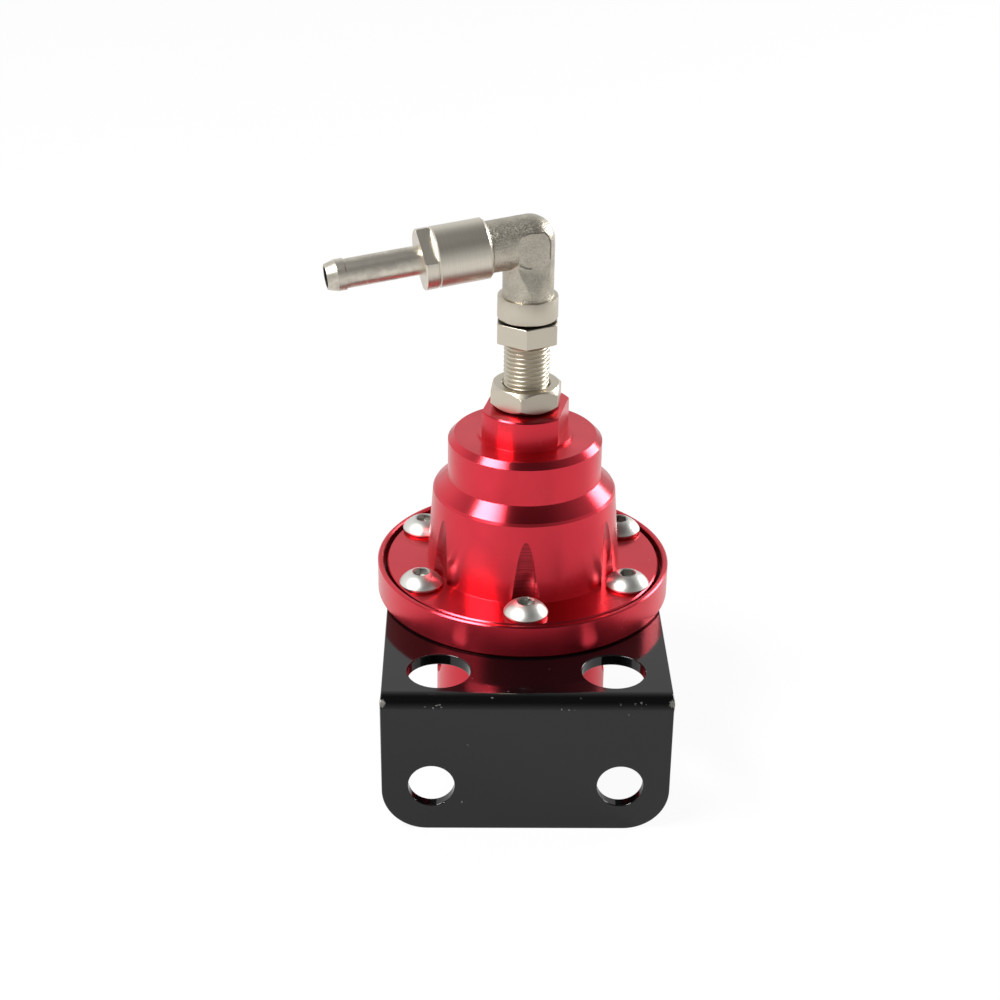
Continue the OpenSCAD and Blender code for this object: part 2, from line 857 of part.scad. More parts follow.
// forged elbow: turned collar, two legs, ball corner with flat pads, air passage
module elbow() {
    color(nickel)
    difference() {
        union() {
            rotate_extrude()
                polygon([
                    [0, z_collar],
                    [collar_d / 2 - collar_edge, z_collar],
                    [collar_d / 2, z_collar + collar_edge],
                    [collar_d / 2, z_leg - collar_edge],
                    [collar_d / 2 - collar_edge, z_leg],
                    [leg_d / 2, z_leg],
                    [leg_d / 2, z_bend],
                    [0, z_bend]
                ]);
            translate([0, 0, z_bend])
                rotate([90, 0, leg_turn])
                    sphere(d = leg_d);
            along_leg()
                cylinder(d = leg_d, h = leg_l);
            along_leg()
                cylinder(d = joint_d, h = leg_l + joint_l);
        }
        for (side = [-1, 1])
            pad_cut(side);
        translate([0, 0, z_collar - eps])
            cylinder(r = socket_r, h = z_socket - z_collar + eps);
        translate([0, 0, z_clip - clip_t / 2 - clip_play])
            cylinder(r = spigot_d / 2 + clip_depth, h = clip_t + 2 * clip_play);
        translate([0, 0, z_socket - eps])
            cylinder(d = stud_bore, h = z_bend + leg_bore - z_socket + eps);
        along_leg()
            cylinder(d = leg_bore, h = leg_l + joint_l + eps);
    }
}

// the metal that a flat pad takes off one side of the bend
module pad_cut(side) {
    depth = leg_d;
    far = leg_d;
    translate([0, 0, z_bend])
        rotate([0, 0, leg_turn])
            translate([0, side * (pad_across / 2 + depth / 2), 0])
                rotate([90, 0, 0]) {
                    translate([-pad_half + pad_r, -pad_down, -depth / 2])
                        cube([far, pad_up + pad_down, depth]);
                    translate([-pad_half, -pad_down + pad_r, -depth / 2])
                        cube([far, pad_up + pad_down - 2 * pad_r, depth]);
                    for (y = [-pad_down + pad_r, pad_up - pad_r])
                        translate([-pad_half + pad_r, y, -depth / 2])
                            cylinder(r = pad_r, h = depth);
                }
}

// turned hose barb with two spanner flats on its collar, screwed on the elbow's spigot
module hose_nipple() {
    bore_d = joint_d + 2 * thread_fit;
    z_stop = leg_l + joint_l + end_gap;
    color(nickel)
    along_leg()
        difference() {
            rotate_extrude()
                polygon([
                    [0, s_sleeve],
                    [sleeve_d / 2 - sleeve_edge, s_sleeve],
                    [sleeve_d / 2, s_sleeve + sleeve_edge],
                    [sleeve_d / 2, s_grip - 1.5 * grip_edge],
                    [sleeve_d / 2 - grip_edge, s_grip - grip_edge / 2],
                    [sleeve_d / 2 - grip_edge, s_grip + grip_edge / 2],
                    [sleeve_d / 2, s_grip + 1.5 * grip_edge],
                    [sleeve_d / 2, s_tube - grip_edge],
                    [sleeve_d / 2 - grip_edge, s_tube],
                    [tube_d / 2, s_tube],
                    [tube_d / 2, s_barb],
                    [barb_d / 2, s_barb],
                    [barb_d / 2, s_nose],
                    [nose_d / 2, s_tip],
                    [0, s_tip]
                ]);
            for (side = [0, 180])
                rotate([0, 0, grip_turn + side])
                    translate([grip_af / 2, -sleeve_d / 2, s_grip])
                        cube([sleeve_d, sleeve_d, grip_l + eps]);
            translate([0, 0, s_sleeve - eps])
                cylinder(d = bore_d, h = z_stop - s_sleeve + eps);
            translate([0, 0, z_stop - eps])
                cylinder(d = nipple_bore, h = s_tip - z_stop + 2 * eps);
        }
}

// bent plate: top plate with a rounded rear end, bend and front plate with rounded corners
module bracket() {
    half = bracket_w / 2;
    inner_r = bend_r - plate_t;
    y_bend = -bracket_reach + bend_r;
    z_bend_c = body_h - bend_r;
    color(black_paint)
    difference() {
        union() {
            translate([-half, y_bend, body_h - plate_t])
                cube([bracket_w, -y_bend, plate_t]);
            translate([0, 0, body_h - plate_t])
                cylinder(d = bracket_w, h = plate_t);
            bracket_bend(y_bend, z_bend_c, inner_r);
            front_plate(z_bend_c);
        }
        translate([0, 0, body_h - plate_t - eps])
            cylinder(d = body_d + 2 * body_gap, h = plate_t + 2 * eps);
        for (side = [-1, 1]) {
            translate([side * top_hole_gap / 2, -top_hole_y, body_h - plate_t - eps])
                cylinder(d = top_hole_d, h = plate_t + 2 * eps);
            translate([side * front_hole_gap / 2, -bracket_reach - eps, front_hole_z])
                rotate([-90, 0, 0])
                    cylinder(d = front_hole_d, h = plate_t + 2 * eps);
        }
        at_fixings()
            translate([0, 0, body_h - plate_t - eps])
                cylinder(d = fix_d + 2 * pass, h = plate_t + 2 * eps);
    }
}

// quarter round that joins the two plates
module bracket_bend(y, z, inner_r) {
    translate([-bracket_w / 2, y, z])
        intersection() {
            rotate([0, 90, 0])
                difference() {
                    cylinder(r = bend_r, h = bracket_w);
                    translate([0, 0, -eps])
                        cylinder(r = inner_r, h = bracket_w + 2 * eps);
                }
            translate([-eps, -bend_r - eps, 0])
                cube([bracket_w + 2 * eps, bend_r + eps, bend_r + eps]);
        }
}

// front plate down to the level of the bottom face
module front_plate(h) {
    half = bracket_w / 2;
    translate([0, -bracket_reach, 0]) {
        translate([-half, 0, corner_r])
            cube([bracket_w, plate_t, h - corner_r]);
        translate([-half + corner_r, 0, 0])
            cube([bracket_w - 2 * corner_r, plate_t, h]);
        for (side = [-1, 1])
            translate([side * (half - corner_r), 0, corner_r])
                rotate([-90, 0, 0])
                    cylinder(r = corner_r, h = plate_t);
    }
}

// screws that hold the bracket to the flange from below, one group
module bracket_screws() {
    color(steel)
    at_fixings()
        translate([0, 0, body_h - plate_t])
            mirror([0, 0, 1])
                domed_screw(fix_d, plate_t + fix_grip, fix_head_d, fix_head_h, fix_head_foot,
                    fix_head_edge, fix_socket_af, fix_socket_depth);
}

lower_body();
bonnet();
bonnet_screws();
diaphragm();
lower_plate();
upper_plate();
plate_nut();
valve_ball();
valve_seat();
seat_seal();
main_spring();
spring_button();
adjusting_screw();
lock_nut_seal();
lock_nut();
swivel_seal();
swivel_clip();
elbow();
hose_nipple();
bracket();
bracket_screws();
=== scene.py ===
import math

import bmesh
import bpy
from mathutils import Matrix, Vector, noise
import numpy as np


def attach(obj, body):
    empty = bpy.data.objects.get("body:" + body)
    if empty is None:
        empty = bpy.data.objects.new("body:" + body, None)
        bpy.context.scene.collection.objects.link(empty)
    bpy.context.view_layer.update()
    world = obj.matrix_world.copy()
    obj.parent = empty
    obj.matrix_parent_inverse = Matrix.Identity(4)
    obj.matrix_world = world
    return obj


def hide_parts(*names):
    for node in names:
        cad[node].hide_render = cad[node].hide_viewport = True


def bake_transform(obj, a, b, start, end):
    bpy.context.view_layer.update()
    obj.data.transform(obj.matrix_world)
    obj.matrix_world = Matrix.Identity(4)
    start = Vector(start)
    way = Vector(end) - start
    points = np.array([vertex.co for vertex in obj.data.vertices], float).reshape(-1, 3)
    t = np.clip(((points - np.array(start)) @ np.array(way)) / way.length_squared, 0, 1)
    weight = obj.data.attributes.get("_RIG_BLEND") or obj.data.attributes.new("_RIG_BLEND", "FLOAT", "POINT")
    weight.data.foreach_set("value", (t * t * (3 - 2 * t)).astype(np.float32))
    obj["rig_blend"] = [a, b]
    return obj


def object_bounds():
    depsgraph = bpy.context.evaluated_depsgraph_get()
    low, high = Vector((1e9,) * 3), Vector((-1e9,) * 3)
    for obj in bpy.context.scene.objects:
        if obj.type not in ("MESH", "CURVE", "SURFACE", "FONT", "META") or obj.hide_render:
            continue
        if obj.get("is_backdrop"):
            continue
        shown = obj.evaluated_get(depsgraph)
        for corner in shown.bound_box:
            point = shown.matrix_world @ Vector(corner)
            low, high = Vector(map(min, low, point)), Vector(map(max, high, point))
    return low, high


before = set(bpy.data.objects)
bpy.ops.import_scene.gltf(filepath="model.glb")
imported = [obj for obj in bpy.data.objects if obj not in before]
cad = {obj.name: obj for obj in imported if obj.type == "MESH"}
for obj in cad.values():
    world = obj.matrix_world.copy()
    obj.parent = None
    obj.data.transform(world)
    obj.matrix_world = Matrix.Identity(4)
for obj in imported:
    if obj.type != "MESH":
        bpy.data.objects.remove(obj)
cad_low, cad_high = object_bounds()
scene = bpy.context.scene
MM = 0.001

# Stage: a plain pale floor, a bright backdrop that fades to a dim room in front, a long soft lamp
# high on the left and a smaller one low behind the right, and the camera above the part's front.
FLOOR_HALF = 4.0
FLOOR_COLOUR = "#f4f4f3"
FLOOR_GLOW = 0.93
FLOOR_GLOW_MIRRORED = 0.55
FLOOR_LIGHT_MIRRORED = 0.6
LEFT_LIGHT = 0.98
RIGHT_LIGHT = 0.66
ROOM_LIGHT = 0.07
BACKDROP_SIDES = (-0.9, 0.5)
ROOM_TOWARD = (0, -0.35, 0.94)
ROOM_FADE = (0.25, 0.92)
KEY_LAMP = {"toward": (-0.53, -0.28, 0.80), "distance": 0.95, "size": (0.50, 0.19), "power": 9.8}
FILL_LAMP = {"toward": (0.80, 0.48, 0.36), "distance": 1.00, "size": (0.44, 0.30), "power": 6.0}
CAMERA_LENS = 70.96
CAMERA_SENSOR = 36.0
PHOTO_SIDE = 1000
CAMERA_AIM = Vector((0, 0, 32 * MM))
CAMERA_AIM_PIXEL = (522.17, 584.22)
CAMERA_DISTANCE = 446.82 * MM
CAMERA_AZIMUTH = math.radians(-1.88)
CAMERA_ELEVATION = math.radians(28.944)
CAMERA_ROLL = math.radians(1.167)


def to_linear(hex_colour):
    """An sRGB hex colour as linear red, green, blue and alpha."""
    parts = [int(hex_colour[i:i + 2], 16) / 255 for i in (1, 3, 5)]
    return [c / 12.92 if c <= 0.04045 else ((c + 0.055) / 1.055) ** 2.4 for c in parts] + [1.0]


def add_node(tree, kind, inputs=None, **settings):
    """Adds a node; each input is a value, or another node's socket to link from."""
    node = tree.nodes.new(kind)
    for name, value in settings.items():
        setattr(node, name, value)
    for name, value in (inputs or {}).items():
        socket = node.inputs[name]
        if isinstance(value, bpy.types.NodeSocket):
            tree.links.new(value, socket)
        else:
            socket.default_value = value
    return node


def new_material(name):
    material = bpy.data.materials.new(name)
    material.use_nodes = True
    material.node_tree.nodes.clear()
    return material, material.node_tree


def add_object(name, data):
    piece = bpy.data.objects.new(name, data)
    scene.collection.objects.link(piece)
    return piece


def pale_floor():
    """Matt white paper that looks white to the eye and in reflections, and keeps a soft shadow."""
    material, tree = new_material("matt_white_paper")
    seen = add_node(tree, "ShaderNodeLightPath").outputs
    bounced = add_node(tree, "ShaderNodeMath", {
        0: seen["Is Glossy Ray"], 1: seen["Is Transmission Ray"]}, operation="MAXIMUM")
    mirrored = add_node(tree, "ShaderNodeMath", {
        0: bounced.outputs[0], 1: FLOOR_GLOW_MIRRORED}, operation="MULTIPLY")
    share = add_node(tree, "ShaderNodeMath", {
        0: seen["Is Camera Ray"], 1: FLOOR_GLOW, 2: mirrored.outputs[0]}, operation="MULTIPLY_ADD")
    paper = add_node(tree, "ShaderNodeBsdfDiffuse", {"Color": to_linear(FLOOR_COLOUR)})
    strength = add_node(tree, "ShaderNodeMapRange", {
        "Value": seen["Is Camera Ray"], "To Min": FLOOR_LIGHT_MIRRORED, "To Max": 1.0})
    white = add_node(tree, "ShaderNodeEmission", {
        "Color": (1, 1, 1, 1), "Strength": strength.outputs[0]})
    mixed = add_node(tree, "ShaderNodeMixShader", {
        0: share.outputs[0], 1: paper.outputs[0], 2: white.outputs[0]})
    add_node(tree, "ShaderNodeOutputMaterial", {"Surface": mixed.outputs[0]})
    return material


floor_mesh = bpy.data.meshes.new("floor")
floor_corners = [(x * FLOOR_HALF, y * FLOOR_HALF, cad_low.z)
                 for x, y in ((-1, -1), (1, -1), (1, 1), (-1, 1))]
floor_mesh.from_pydata(floor_corners, [], [(0, 1, 2, 3)])
floor = add_object("floor", floor_mesh)
floor.data.materials.append(pale_floor())
floor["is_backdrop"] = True

studio = bpy.data.worlds.new("studio")
studio.use_nodes = True
studio.node_tree.nodes.clear()
looking = add_node(studio.node_tree, "ShaderNodeTexCoord").outputs["Generated"]
facing_room = add_node(studio.node_tree, "ShaderNodeVectorMath", {
    0: looking, 1: Vector(ROOM_TOWARD).normalized()}, operation="DOT_PRODUCT")
sideways = add_node(studio.node_tree, "ShaderNodeSeparateXYZ", {"Vector": looking})
backdrop = add_node(studio.node_tree, "ShaderNodeMapRange", {
    "Value": sideways.outputs["X"], "From Min": BACKDROP_SIDES[0], "From Max": BACKDROP_SIDES[1],
    "To Min": LEFT_LIGHT, "To Max": RIGHT_LIGHT})
surround_light = add_node(studio.node_tree, "ShaderNodeMapRange", {
    "Value": facing_room.outputs["Value"], "From Min": ROOM_FADE[0], "From Max": ROOM_FADE[1],
    "To Min": backdrop.outputs[0], "To Max": ROOM_LIGHT})
seen_direct = add_node(studio.node_tree, "ShaderNodeLightPath").outputs["Is Camera Ray"]
shown_light = add_node(studio.node_tree, "ShaderNodeMath", {
    0: surround_light.outputs[0], 1: seen_direct}, operation="MAXIMUM")
surround = add_node(studio.node_tree, "ShaderNodeBackground", {
    "Color": (1, 1, 1, 1), "Strength": shown_light.outputs[0]})
add_node(studio.node_tree, "ShaderNodeOutputWorld", {"Surface": surround.outputs[0]})
scene.world = studio
scene.view_settings.view_transform = "Standard"

for lamp_name, lamp in (("key_lamp", KEY_LAMP), ("fill_lamp", FILL_LAMP)):
    light = bpy.data.lights.new(lamp_name, "AREA")
    light.shape = "RECTANGLE"
    light.size, light.size_y = lamp["size"]
    light.energy = lamp["power"]
    holder = add_object(lamp_name, light)
    toward = Vector(lamp["toward"]).normalized()
    holder.location = CAMERA_AIM + toward * lamp["distance"]
    holder.rotation_euler = toward.to_track_quat("Z", "Y").to_euler()

camera = add_object("camera", bpy.data.cameras.new("camera"))
camera.data.lens = CAMERA_LENS
camera.data.sensor_width = CAMERA_SENSOR
pixel_focus = CAMERA_LENS / CAMERA_SENSOR * PHOTO_SIDE
back = Vector((math.sin(CAMERA_AZIMUTH) * math.cos(CAMERA_ELEVATION),
               -math.cos(CAMERA_AZIMUTH) * math.cos(CAMERA_ELEVATION),
               math.sin(CAMERA_ELEVATION)))
right = Vector((math.cos(CAMERA_AZIMUTH), math.sin(CAMERA_AZIMUTH), 0))
level = Matrix((right, back.cross(right), back))
aim_ray = Vector(((CAMERA_AIM_PIXEL[0] - PHOTO_SIDE / 2) / pixel_focus,
                  (PHOTO_SIDE / 2 - CAMERA_AIM_PIXEL[1]) / pixel_focus, -1)).normalized()
off_centre = Vector((0, 0, -1)).rotation_difference(aim_ray).to_matrix()
turned = off_centre @ Matrix.Rotation(-CAMERA_ROLL, 3, "Z") @ level
standing = Matrix.Translation(CAMERA_AIM + back * CAMERA_DISTANCE)
camera.matrix_world = standing @ turned.transposed().to_4x4()
scene.camera = camera

# Lower body: the turned base with its wide flange, raised rim and three tapped ports. It is
# aluminium, turned from bar and anodised red, so light stretches across its fine turning lines.
RED = "#e63c4b"
RED_DEEP = "#cf2f3d"
DUST = "#efe6e2"
RED_GLOSS = (0.245, 0.275)
TURNING_LINE = 0.22 * MM
TURNING_RELIEF = 0.0016 * MM
CLOUD = 9.0 * MM
DUST_CELL = 2.6 * MM
DUST_SPOT = (0.05, 0.03)
DUST_FREE_SHARE = 0.90
NOISE_LOW, NOISE_HIGH = 0.3, 0.7
BODY_BREAK = 0.14 * MM
SCREW_CIRCLE = 26.0 * MM
SCREW_SEAT = 39.1 * MM
SCALLOP_REACH = 5.62 * MM
CUTTER_LINE = 0.32 * MM
SCALLOP_PAINTED_SHADE = (0.35, 0.75)
PORT_RADIUS = 4.28 * MM
PORT_BACK = 4.34 * MM
PORT_PITCH = 0.94 * MM
PORT_DEPTH = 0.45 * MM
PORT_LIP = -0.1 * MM
PORTS = (("return", (0, 0, -1), (0, 0, 0), 8.0),
         ("inlet", (1, 0, 0), (16.9, 0, 16.5), 6.4),
         ("outlet", (-1, 0, 0), (-16.9, 0, 16.5), 6.4))
THREAD_FLANK = (0.07, 0.43)
THREAD_RINGS = 8
ON_WALL = 0.01 * MM
SIDES = 96
SHARP = math.radians(30)
CREASE = math.cos(math.radians(3))
FLAT = math.radians(0.5)
WELD = 0.0001 * MM
CAD_DIGITS = 8
OUTER_EDGE_SHARE = 0.5


def red_anodising():
    """Coloured metal under a thin clear oxide layer, with fine turned rings, a few dust specks, and
    the scallops painted darker as painted shade in their hollows, in bands along the cutter's lines."""
    material, tree = new_material("red_anodised_aluminium")
    place = add_node(tree, "ShaderNodeTexCoord").outputs["Object"]
    axes = add_node(tree, "ShaderNodeSeparateXYZ", {"Vector": place}).outputs
    across = add_node(tree, "ShaderNodeCombineXYZ", {"X": axes["X"], "Y": axes["Y"]})
    radius = add_node(tree, "ShaderNodeVectorMath", {0: across.outputs[0]}, operation="LENGTH")
    section = add_node(tree, "ShaderNodeCombineXYZ", {
        "X": radius.outputs["Value"], "Y": axes["Z"]})
    rings = add_node(tree, "ShaderNodeTexNoise", {
        "Vector": section.outputs[0], "Scale": 1 / TURNING_LINE, "Detail": 1.0},
        noise_dimensions="2D")
    cloud = add_node(tree, "ShaderNodeTexNoise", {
        "Vector": place, "Scale": 1 / CLOUD, "Detail": 2.0})
    tint = add_node(tree, "ShaderNodeMix", {
        "Factor": cloud.outputs["Fac"], 6: to_linear(RED_DEEP), 7: to_linear(RED)},
        data_type="RGBA")
    angle = add_node(tree, "ShaderNodeMath", {0: axes["Y"], 1: axes["X"]}, operation="ARCTAN2")
    first_up = add_node(tree, "ShaderNodeMath", {
        0: angle.outputs[0], 1: math.pi / 2}, operation="ADD")
    folded = add_node(tree, "ShaderNodeMath", {
        0: first_up.outputs[0], 1: math.pi / 6, 2: -math.pi / 6}, operation="WRAP")
    spot = [add_node(tree, "ShaderNodeMath", {
        0: radius.outputs["Value"],
        1: add_node(tree, "ShaderNodeMath", {0: folded.outputs[0]}, operation=trig).outputs[0]},
        operation="MULTIPLY").outputs[0] for trig in ("COSINE", "SINE")]
    beside_screw = add_node(tree, "ShaderNodeVectorMath", {
        0: add_node(tree, "ShaderNodeCombineXYZ", {"X": spot[0], "Y": spot[1]}).outputs[0],
        1: (SCREW_CIRCLE, 0, 0)}, operation="DISTANCE")
    inside = add_node(tree, "ShaderNodeMath", {
        0: beside_screw.outputs["Value"], 1: SCALLOP_REACH}, operation="LESS_THAN")
    above = add_node(tree, "ShaderNodeMath", {
        0: axes["Z"], 1: SCREW_SEAT + BODY_BREAK}, operation="GREATER_THAN")
    scallop = add_node(tree, "ShaderNodeMath", {
        0: inside.outputs[0], 1: above.outputs[0]}, operation="MULTIPLY")
    # The scallops are painted darker, a painted shade in their hollows, in bands along the cutter's lines.
    cutter = add_node(tree, "ShaderNodeTexNoise", {
        "W": axes["Z"], "Scale": 1 / CUTTER_LINE, "Detail": 1.0}, noise_dimensions="1D")
    painted_cutter_shade = add_node(tree, "ShaderNodeMapRange", {
        "Value": cutter.outputs["Fac"], "From Min": NOISE_LOW, "From Max": NOISE_HIGH,
        "To Min": SCALLOP_PAINTED_SHADE[0], "To Max": SCALLOP_PAINTED_SHADE[1]})
    scallops_painted_darker = add_node(tree, "ShaderNodeMix", {
        "Factor": scallop.outputs[0], 6: tint.outputs[2], 7: painted_cutter_shade.outputs[0]},
        data_type="RGBA", blend_type="MULTIPLY")
    cells = add_node(tree, "ShaderNodeTexVoronoi", {"Vector": place, "Scale": 1 / DUST_CELL})
    near = add_node(tree, "ShaderNodeMapRange", {
        "Value": cells.outputs["Distance"], "From Min": DUST_SPOT[0], "From Max": DUST_SPOT[1]})
    chosen = add_node(tree, "ShaderNodeSeparateXYZ", {"Vector": cells.outputs["Color"]})
    rare = add_node(tree, "ShaderNodeMath", {
        0: chosen.outputs["X"], 1: DUST_FREE_SHARE}, operation="GREATER_THAN")
    dust = add_node(tree, "ShaderNodeMath", {
        0: near.outputs[0], 1: rare.outputs[0]}, operation="MULTIPLY")
    colour = add_node(tree, "ShaderNodeMix", {
        "Factor": dust.outputs[0], 6: scallops_painted_darker.outputs[2], 7: to_linear(DUST)}, data_type="RGBA")
    gloss = add_node(tree, "ShaderNodeMapRange", {
        "Value": cloud.outputs["Fac"], "From Min": NOISE_LOW, "From Max": NOISE_HIGH,
        "To Min": RED_GLOSS[0], "To Max": RED_GLOSS[1]})
    relief = add_node(tree, "ShaderNodeBump", {
        "Height": rings.outputs["Fac"], "Strength": 1.0, "Distance": TURNING_RELIEF})
    around = add_node(tree, "ShaderNodeTangent", direction_type="RADIAL", axis="Z")
    shader = add_node(tree, "ShaderNodeBsdfPrincipled", {
        "Base Color": colour.outputs[2], "Metallic": 1.0, "Roughness": gloss.outputs[0],
        "Normal": relief.outputs[0], "Tangent": around.outputs[0], "Anisotropic": 0.88,
        "Anisotropic Rotation": 0.25, "Coat Weight": 0.2, "Coat Roughness": 0.16})
    add_node(tree, "ShaderNodeOutputMaterial", {"Surface": shader.outputs[0]})
    return material


def finish_node(node, material):
    cad[node].data.materials.clear()
    cad[node].data.materials.append(material)


def applied(piece):
    """Turns a piece with its modifiers into a plain mesh."""
    graph = bpy.context.evaluated_depsgraph_get()
    mesh = bpy.data.meshes.new_from_object(piece.evaluated_get(graph), depsgraph=graph)
    piece.modifiers.clear()
    before, piece.data = piece.data, mesh
    bpy.data.meshes.remove(before)
    return piece


def rounded(spot):
    return tuple(round(c, CAD_DIGITS) for c in spot)


def welded_copy(name, node):
    """A welded copy of a CAD node, creased where the CAD model's own normals break."""
    source = cad[node].data
    sides = {}
    for face in source.polygons:
        loops = [(rounded(source.vertices[source.loops[i].vertex_index].co),
                  source.corner_normals[i].vector.copy()) for i in face.loop_indices]
        for one, two in zip(loops, loops[1:] + loops[:1]):
            sides.setdefault(frozenset((one[0], two[0])), []).append(dict((one, two)))
    shape = bmesh.new()
    shape.from_mesh(source)
    bmesh.ops.remove_doubles(shape, verts=shape.verts, dist=WELD)
    broken = shape.edges.layers.float.new("bevel_weight_edge")
    for edge in shape.edges:
        ends = [rounded(vert.co) for vert in edge.verts]
        faces = sides.get(frozenset(ends), [])
        edge.smooth = len(faces) == 2 and all(
            faces[0][end].dot(faces[1][end]) > CREASE for end in ends)
        if not edge.smooth and len(edge.link_faces) == 2 and edge.calc_face_angle() > SHARP:
            edge[broken] = OUTER_EDGE_SHARE if edge.is_convex else 1.0
    bmesh.ops.dissolve_limit(
        shape, angle_limit=FLAT, verts=shape.verts, edges=shape.edges, delimit={"SHARP"})
    mesh = bpy.data.meshes.new(name)
    shape.to_mesh(mesh)
    shape.free()
    for face in mesh.polygons:
        face.use_smooth = True
    return add_object(name, mesh)


def softened(name, node, width, material, steps=2):
    """A copy of a CAD node whose sharp edges are broken, so that they catch the light."""
    piece = welded_copy(name, node)
    rounding = piece.modifiers.new("rounding", "BEVEL")
    rounding.width = width / OUTER_EDGE_SHARE
    rounding.segments = steps
    rounding.limit_method = "WEIGHT"
    rounding.harden_normals = True
    piece.data.materials.append(material)
    return applied(piece)


def looped(name, rings, joined=False, start=0.0):
    """A turned shape from rings of (height, radius); a radius may be a function of the angle."""
    shape = bmesh.new()
    rows = []
    for height, radius in rings:
        if radius == 0:
            rows.append([shape.verts.new((0, 0, height))])
            continue
        row = []
        for i in range(SIDES):
            angle = start + 2 * math.pi * i / SIDES
            reach = radius(angle) if callable(radius) else radius
            row.append(shape.verts.new((reach * math.cos(angle), reach * math.sin(angle), height)))
        rows.append(row)
    pairs = list(zip(rows, rows[1:])) + ([(rows[-1], rows[0])] if joined else [])
    for lower, upper in pairs:
        for i in range(SIDES):
            j = i + 1
            corners = [lower[i % len(lower)], lower[j % len(lower)],
                       upper[j % len(upper)], upper[i % len(upper)]]
            shape.faces.new(list(dict.fromkeys(corners)))
    bmesh.ops.recalc_face_normals(shape, faces=shape.faces)
    mesh = bpy.data.meshes.new(name)
    shape.to_mesh(mesh)
    shape.free()
    mesh.shade_smooth()
    mesh.set_sharp_from_angle(angle=SHARP)
    return add_object(name, mesh)


def geometry_tree(name, inputs):
    """A new node group with a geometry and these named inputs, and its input sockets."""
    tree = bpy.data.node_groups.new(name, "GeometryNodeTree")
    for label, kind in (("Geometry", "NodeSocketGeometry"), *inputs):
        tree.interface.new_socket(label, in_out="INPUT", socket_type=kind)
    tree.interface.new_socket("Geometry", in_out="OUTPUT", socket_type="NodeSocketGeometry")
    return tree, add_node(tree, "NodeGroupInput").outputs


def close_tree(tree, geometry, material):
    """Ends a node group with real geometry in one material."""
    real = add_node(tree, "GeometryNodeRealizeInstances", {"Geometry": geometry})
    finished = add_node(tree, "GeometryNodeSetMaterial", {
        "Geometry": real.outputs[0], "Material": material})
    add_node(tree, "NodeGroupOutput", {"Geometry": finished.outputs[0]})


def grown(piece, tree, values):
    """Runs a tree on a piece with these values for its named inputs, and keeps the plain mesh."""
    growth = piece.modifiers.new(tree.name, "NODES")
    growth.node_group = tree
    for item in tree.interface.items_tree:
        if item.in_out == "INPUT" and item.name in values:
            growth[item.identifier] = values[item.name]
    return applied(piece)


def thread_tree():
    """Cuts a right-handed thread into the wall of a turned shape that stands on the Z axis."""
    number = "NodeSocketFloat"
    tree, given = geometry_tree("cut_thread", (
        ("Wall radius", number), ("Pitch", number), ("Depth", number), ("Start", number),
        ("End", number), ("Run-out", number), ("Material", "NodeSocketMaterial")))
    place = add_node(tree, "GeometryNodeInputPosition").outputs[0]
    axes = add_node(tree, "ShaderNodeSeparateXYZ", {"Vector": place}).outputs
    flat = add_node(tree, "ShaderNodeCombineXYZ", {"X": axes["X"], "Y": axes["Y"]})
    reach = add_node(tree, "ShaderNodeVectorMath", {0: flat.outputs[0]}, operation="LENGTH")
    outward = add_node(tree, "ShaderNodeVectorMath", {
        0: flat.outputs[0]}, operation="NORMALIZE")
    angle = add_node(tree, "ShaderNodeMath", {0: axes["Y"], 1: axes["X"]}, operation="ARCTAN2")
    turn = add_node(tree, "ShaderNodeMath", {
        0: angle.outputs[0], 1: 2 * math.pi}, operation="DIVIDE")
    climb = add_node(tree, "ShaderNodeMath", {0: axes["Z"], 1: given["Pitch"]}, operation="DIVIDE")
    phase = add_node(tree, "ShaderNodeMath", {
        0: climb.outputs[0], 1: turn.outputs[0]}, operation="SUBTRACT")
    wave = add_node(tree, "ShaderNodeMath", {0: phase.outputs[0], 1: 0.5}, operation="PINGPONG")
    groove = add_node(tree, "ShaderNodeMapRange", {
        "Value": wave.outputs[0], "From Min": THREAD_FLANK[0], "From Max": THREAD_FLANK[1]})
    start_full = add_node(tree, "ShaderNodeMath", {
        0: given["Start"], 1: given["Run-out"]}, operation="ADD")
    end_full = add_node(tree, "ShaderNodeMath", {
        0: given["End"], 1: given["Run-out"]}, operation="SUBTRACT")
    fade_in = add_node(tree, "ShaderNodeMapRange", {
        "Value": axes["Z"], "From Min": given["Start"], "From Max": start_full.outputs[0]})
    fade_out = add_node(tree, "ShaderNodeMapRange", {
        "Value": axes["Z"], "From Min": given["End"], "From Max": end_full.outputs[0]})
    on_wall = add_node(tree, "ShaderNodeMath", {
        0: reach.outputs["Value"], 1: given["Wall radius"], 2: ON_WALL}, operation="COMPARE")
    share = groove.outputs[0]
    for factor in (fade_in.outputs[0], fade_out.outputs[0], on_wall.outputs[0],
                   given["Depth"], -1.0):
        share = add_node(tree, "ShaderNodeMath", {
            0: share, 1: factor}, operation="MULTIPLY").outputs[0]
    inward = add_node(tree, "ShaderNodeVectorMath", {
        0: outward.outputs["Vector"], "Scale": share}, operation="SCALE")
    cut = add_node(tree, "GeometryNodeSetPosition", {
        "Geometry": given["Geometry"], "Offset": inward.outputs["Vector"]})
    close_tree(tree, cut.outputs[0], given["Material"])
    return tree


def wall_rings(low, high, radius, pitch):
    """Rings for a turned wall, close enough together to hold a thread of this pitch."""
    steps = math.ceil((high - low) / (pitch / THREAD_RINGS))
    return [(low + (high - low) * i / steps, radius) for i in range(steps + 1)]


anodised = red_anodising()
body = softened("lower_body_turned", "lower_body", BODY_BREAK, anodised)
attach(body, "housing")
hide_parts("lower_body")

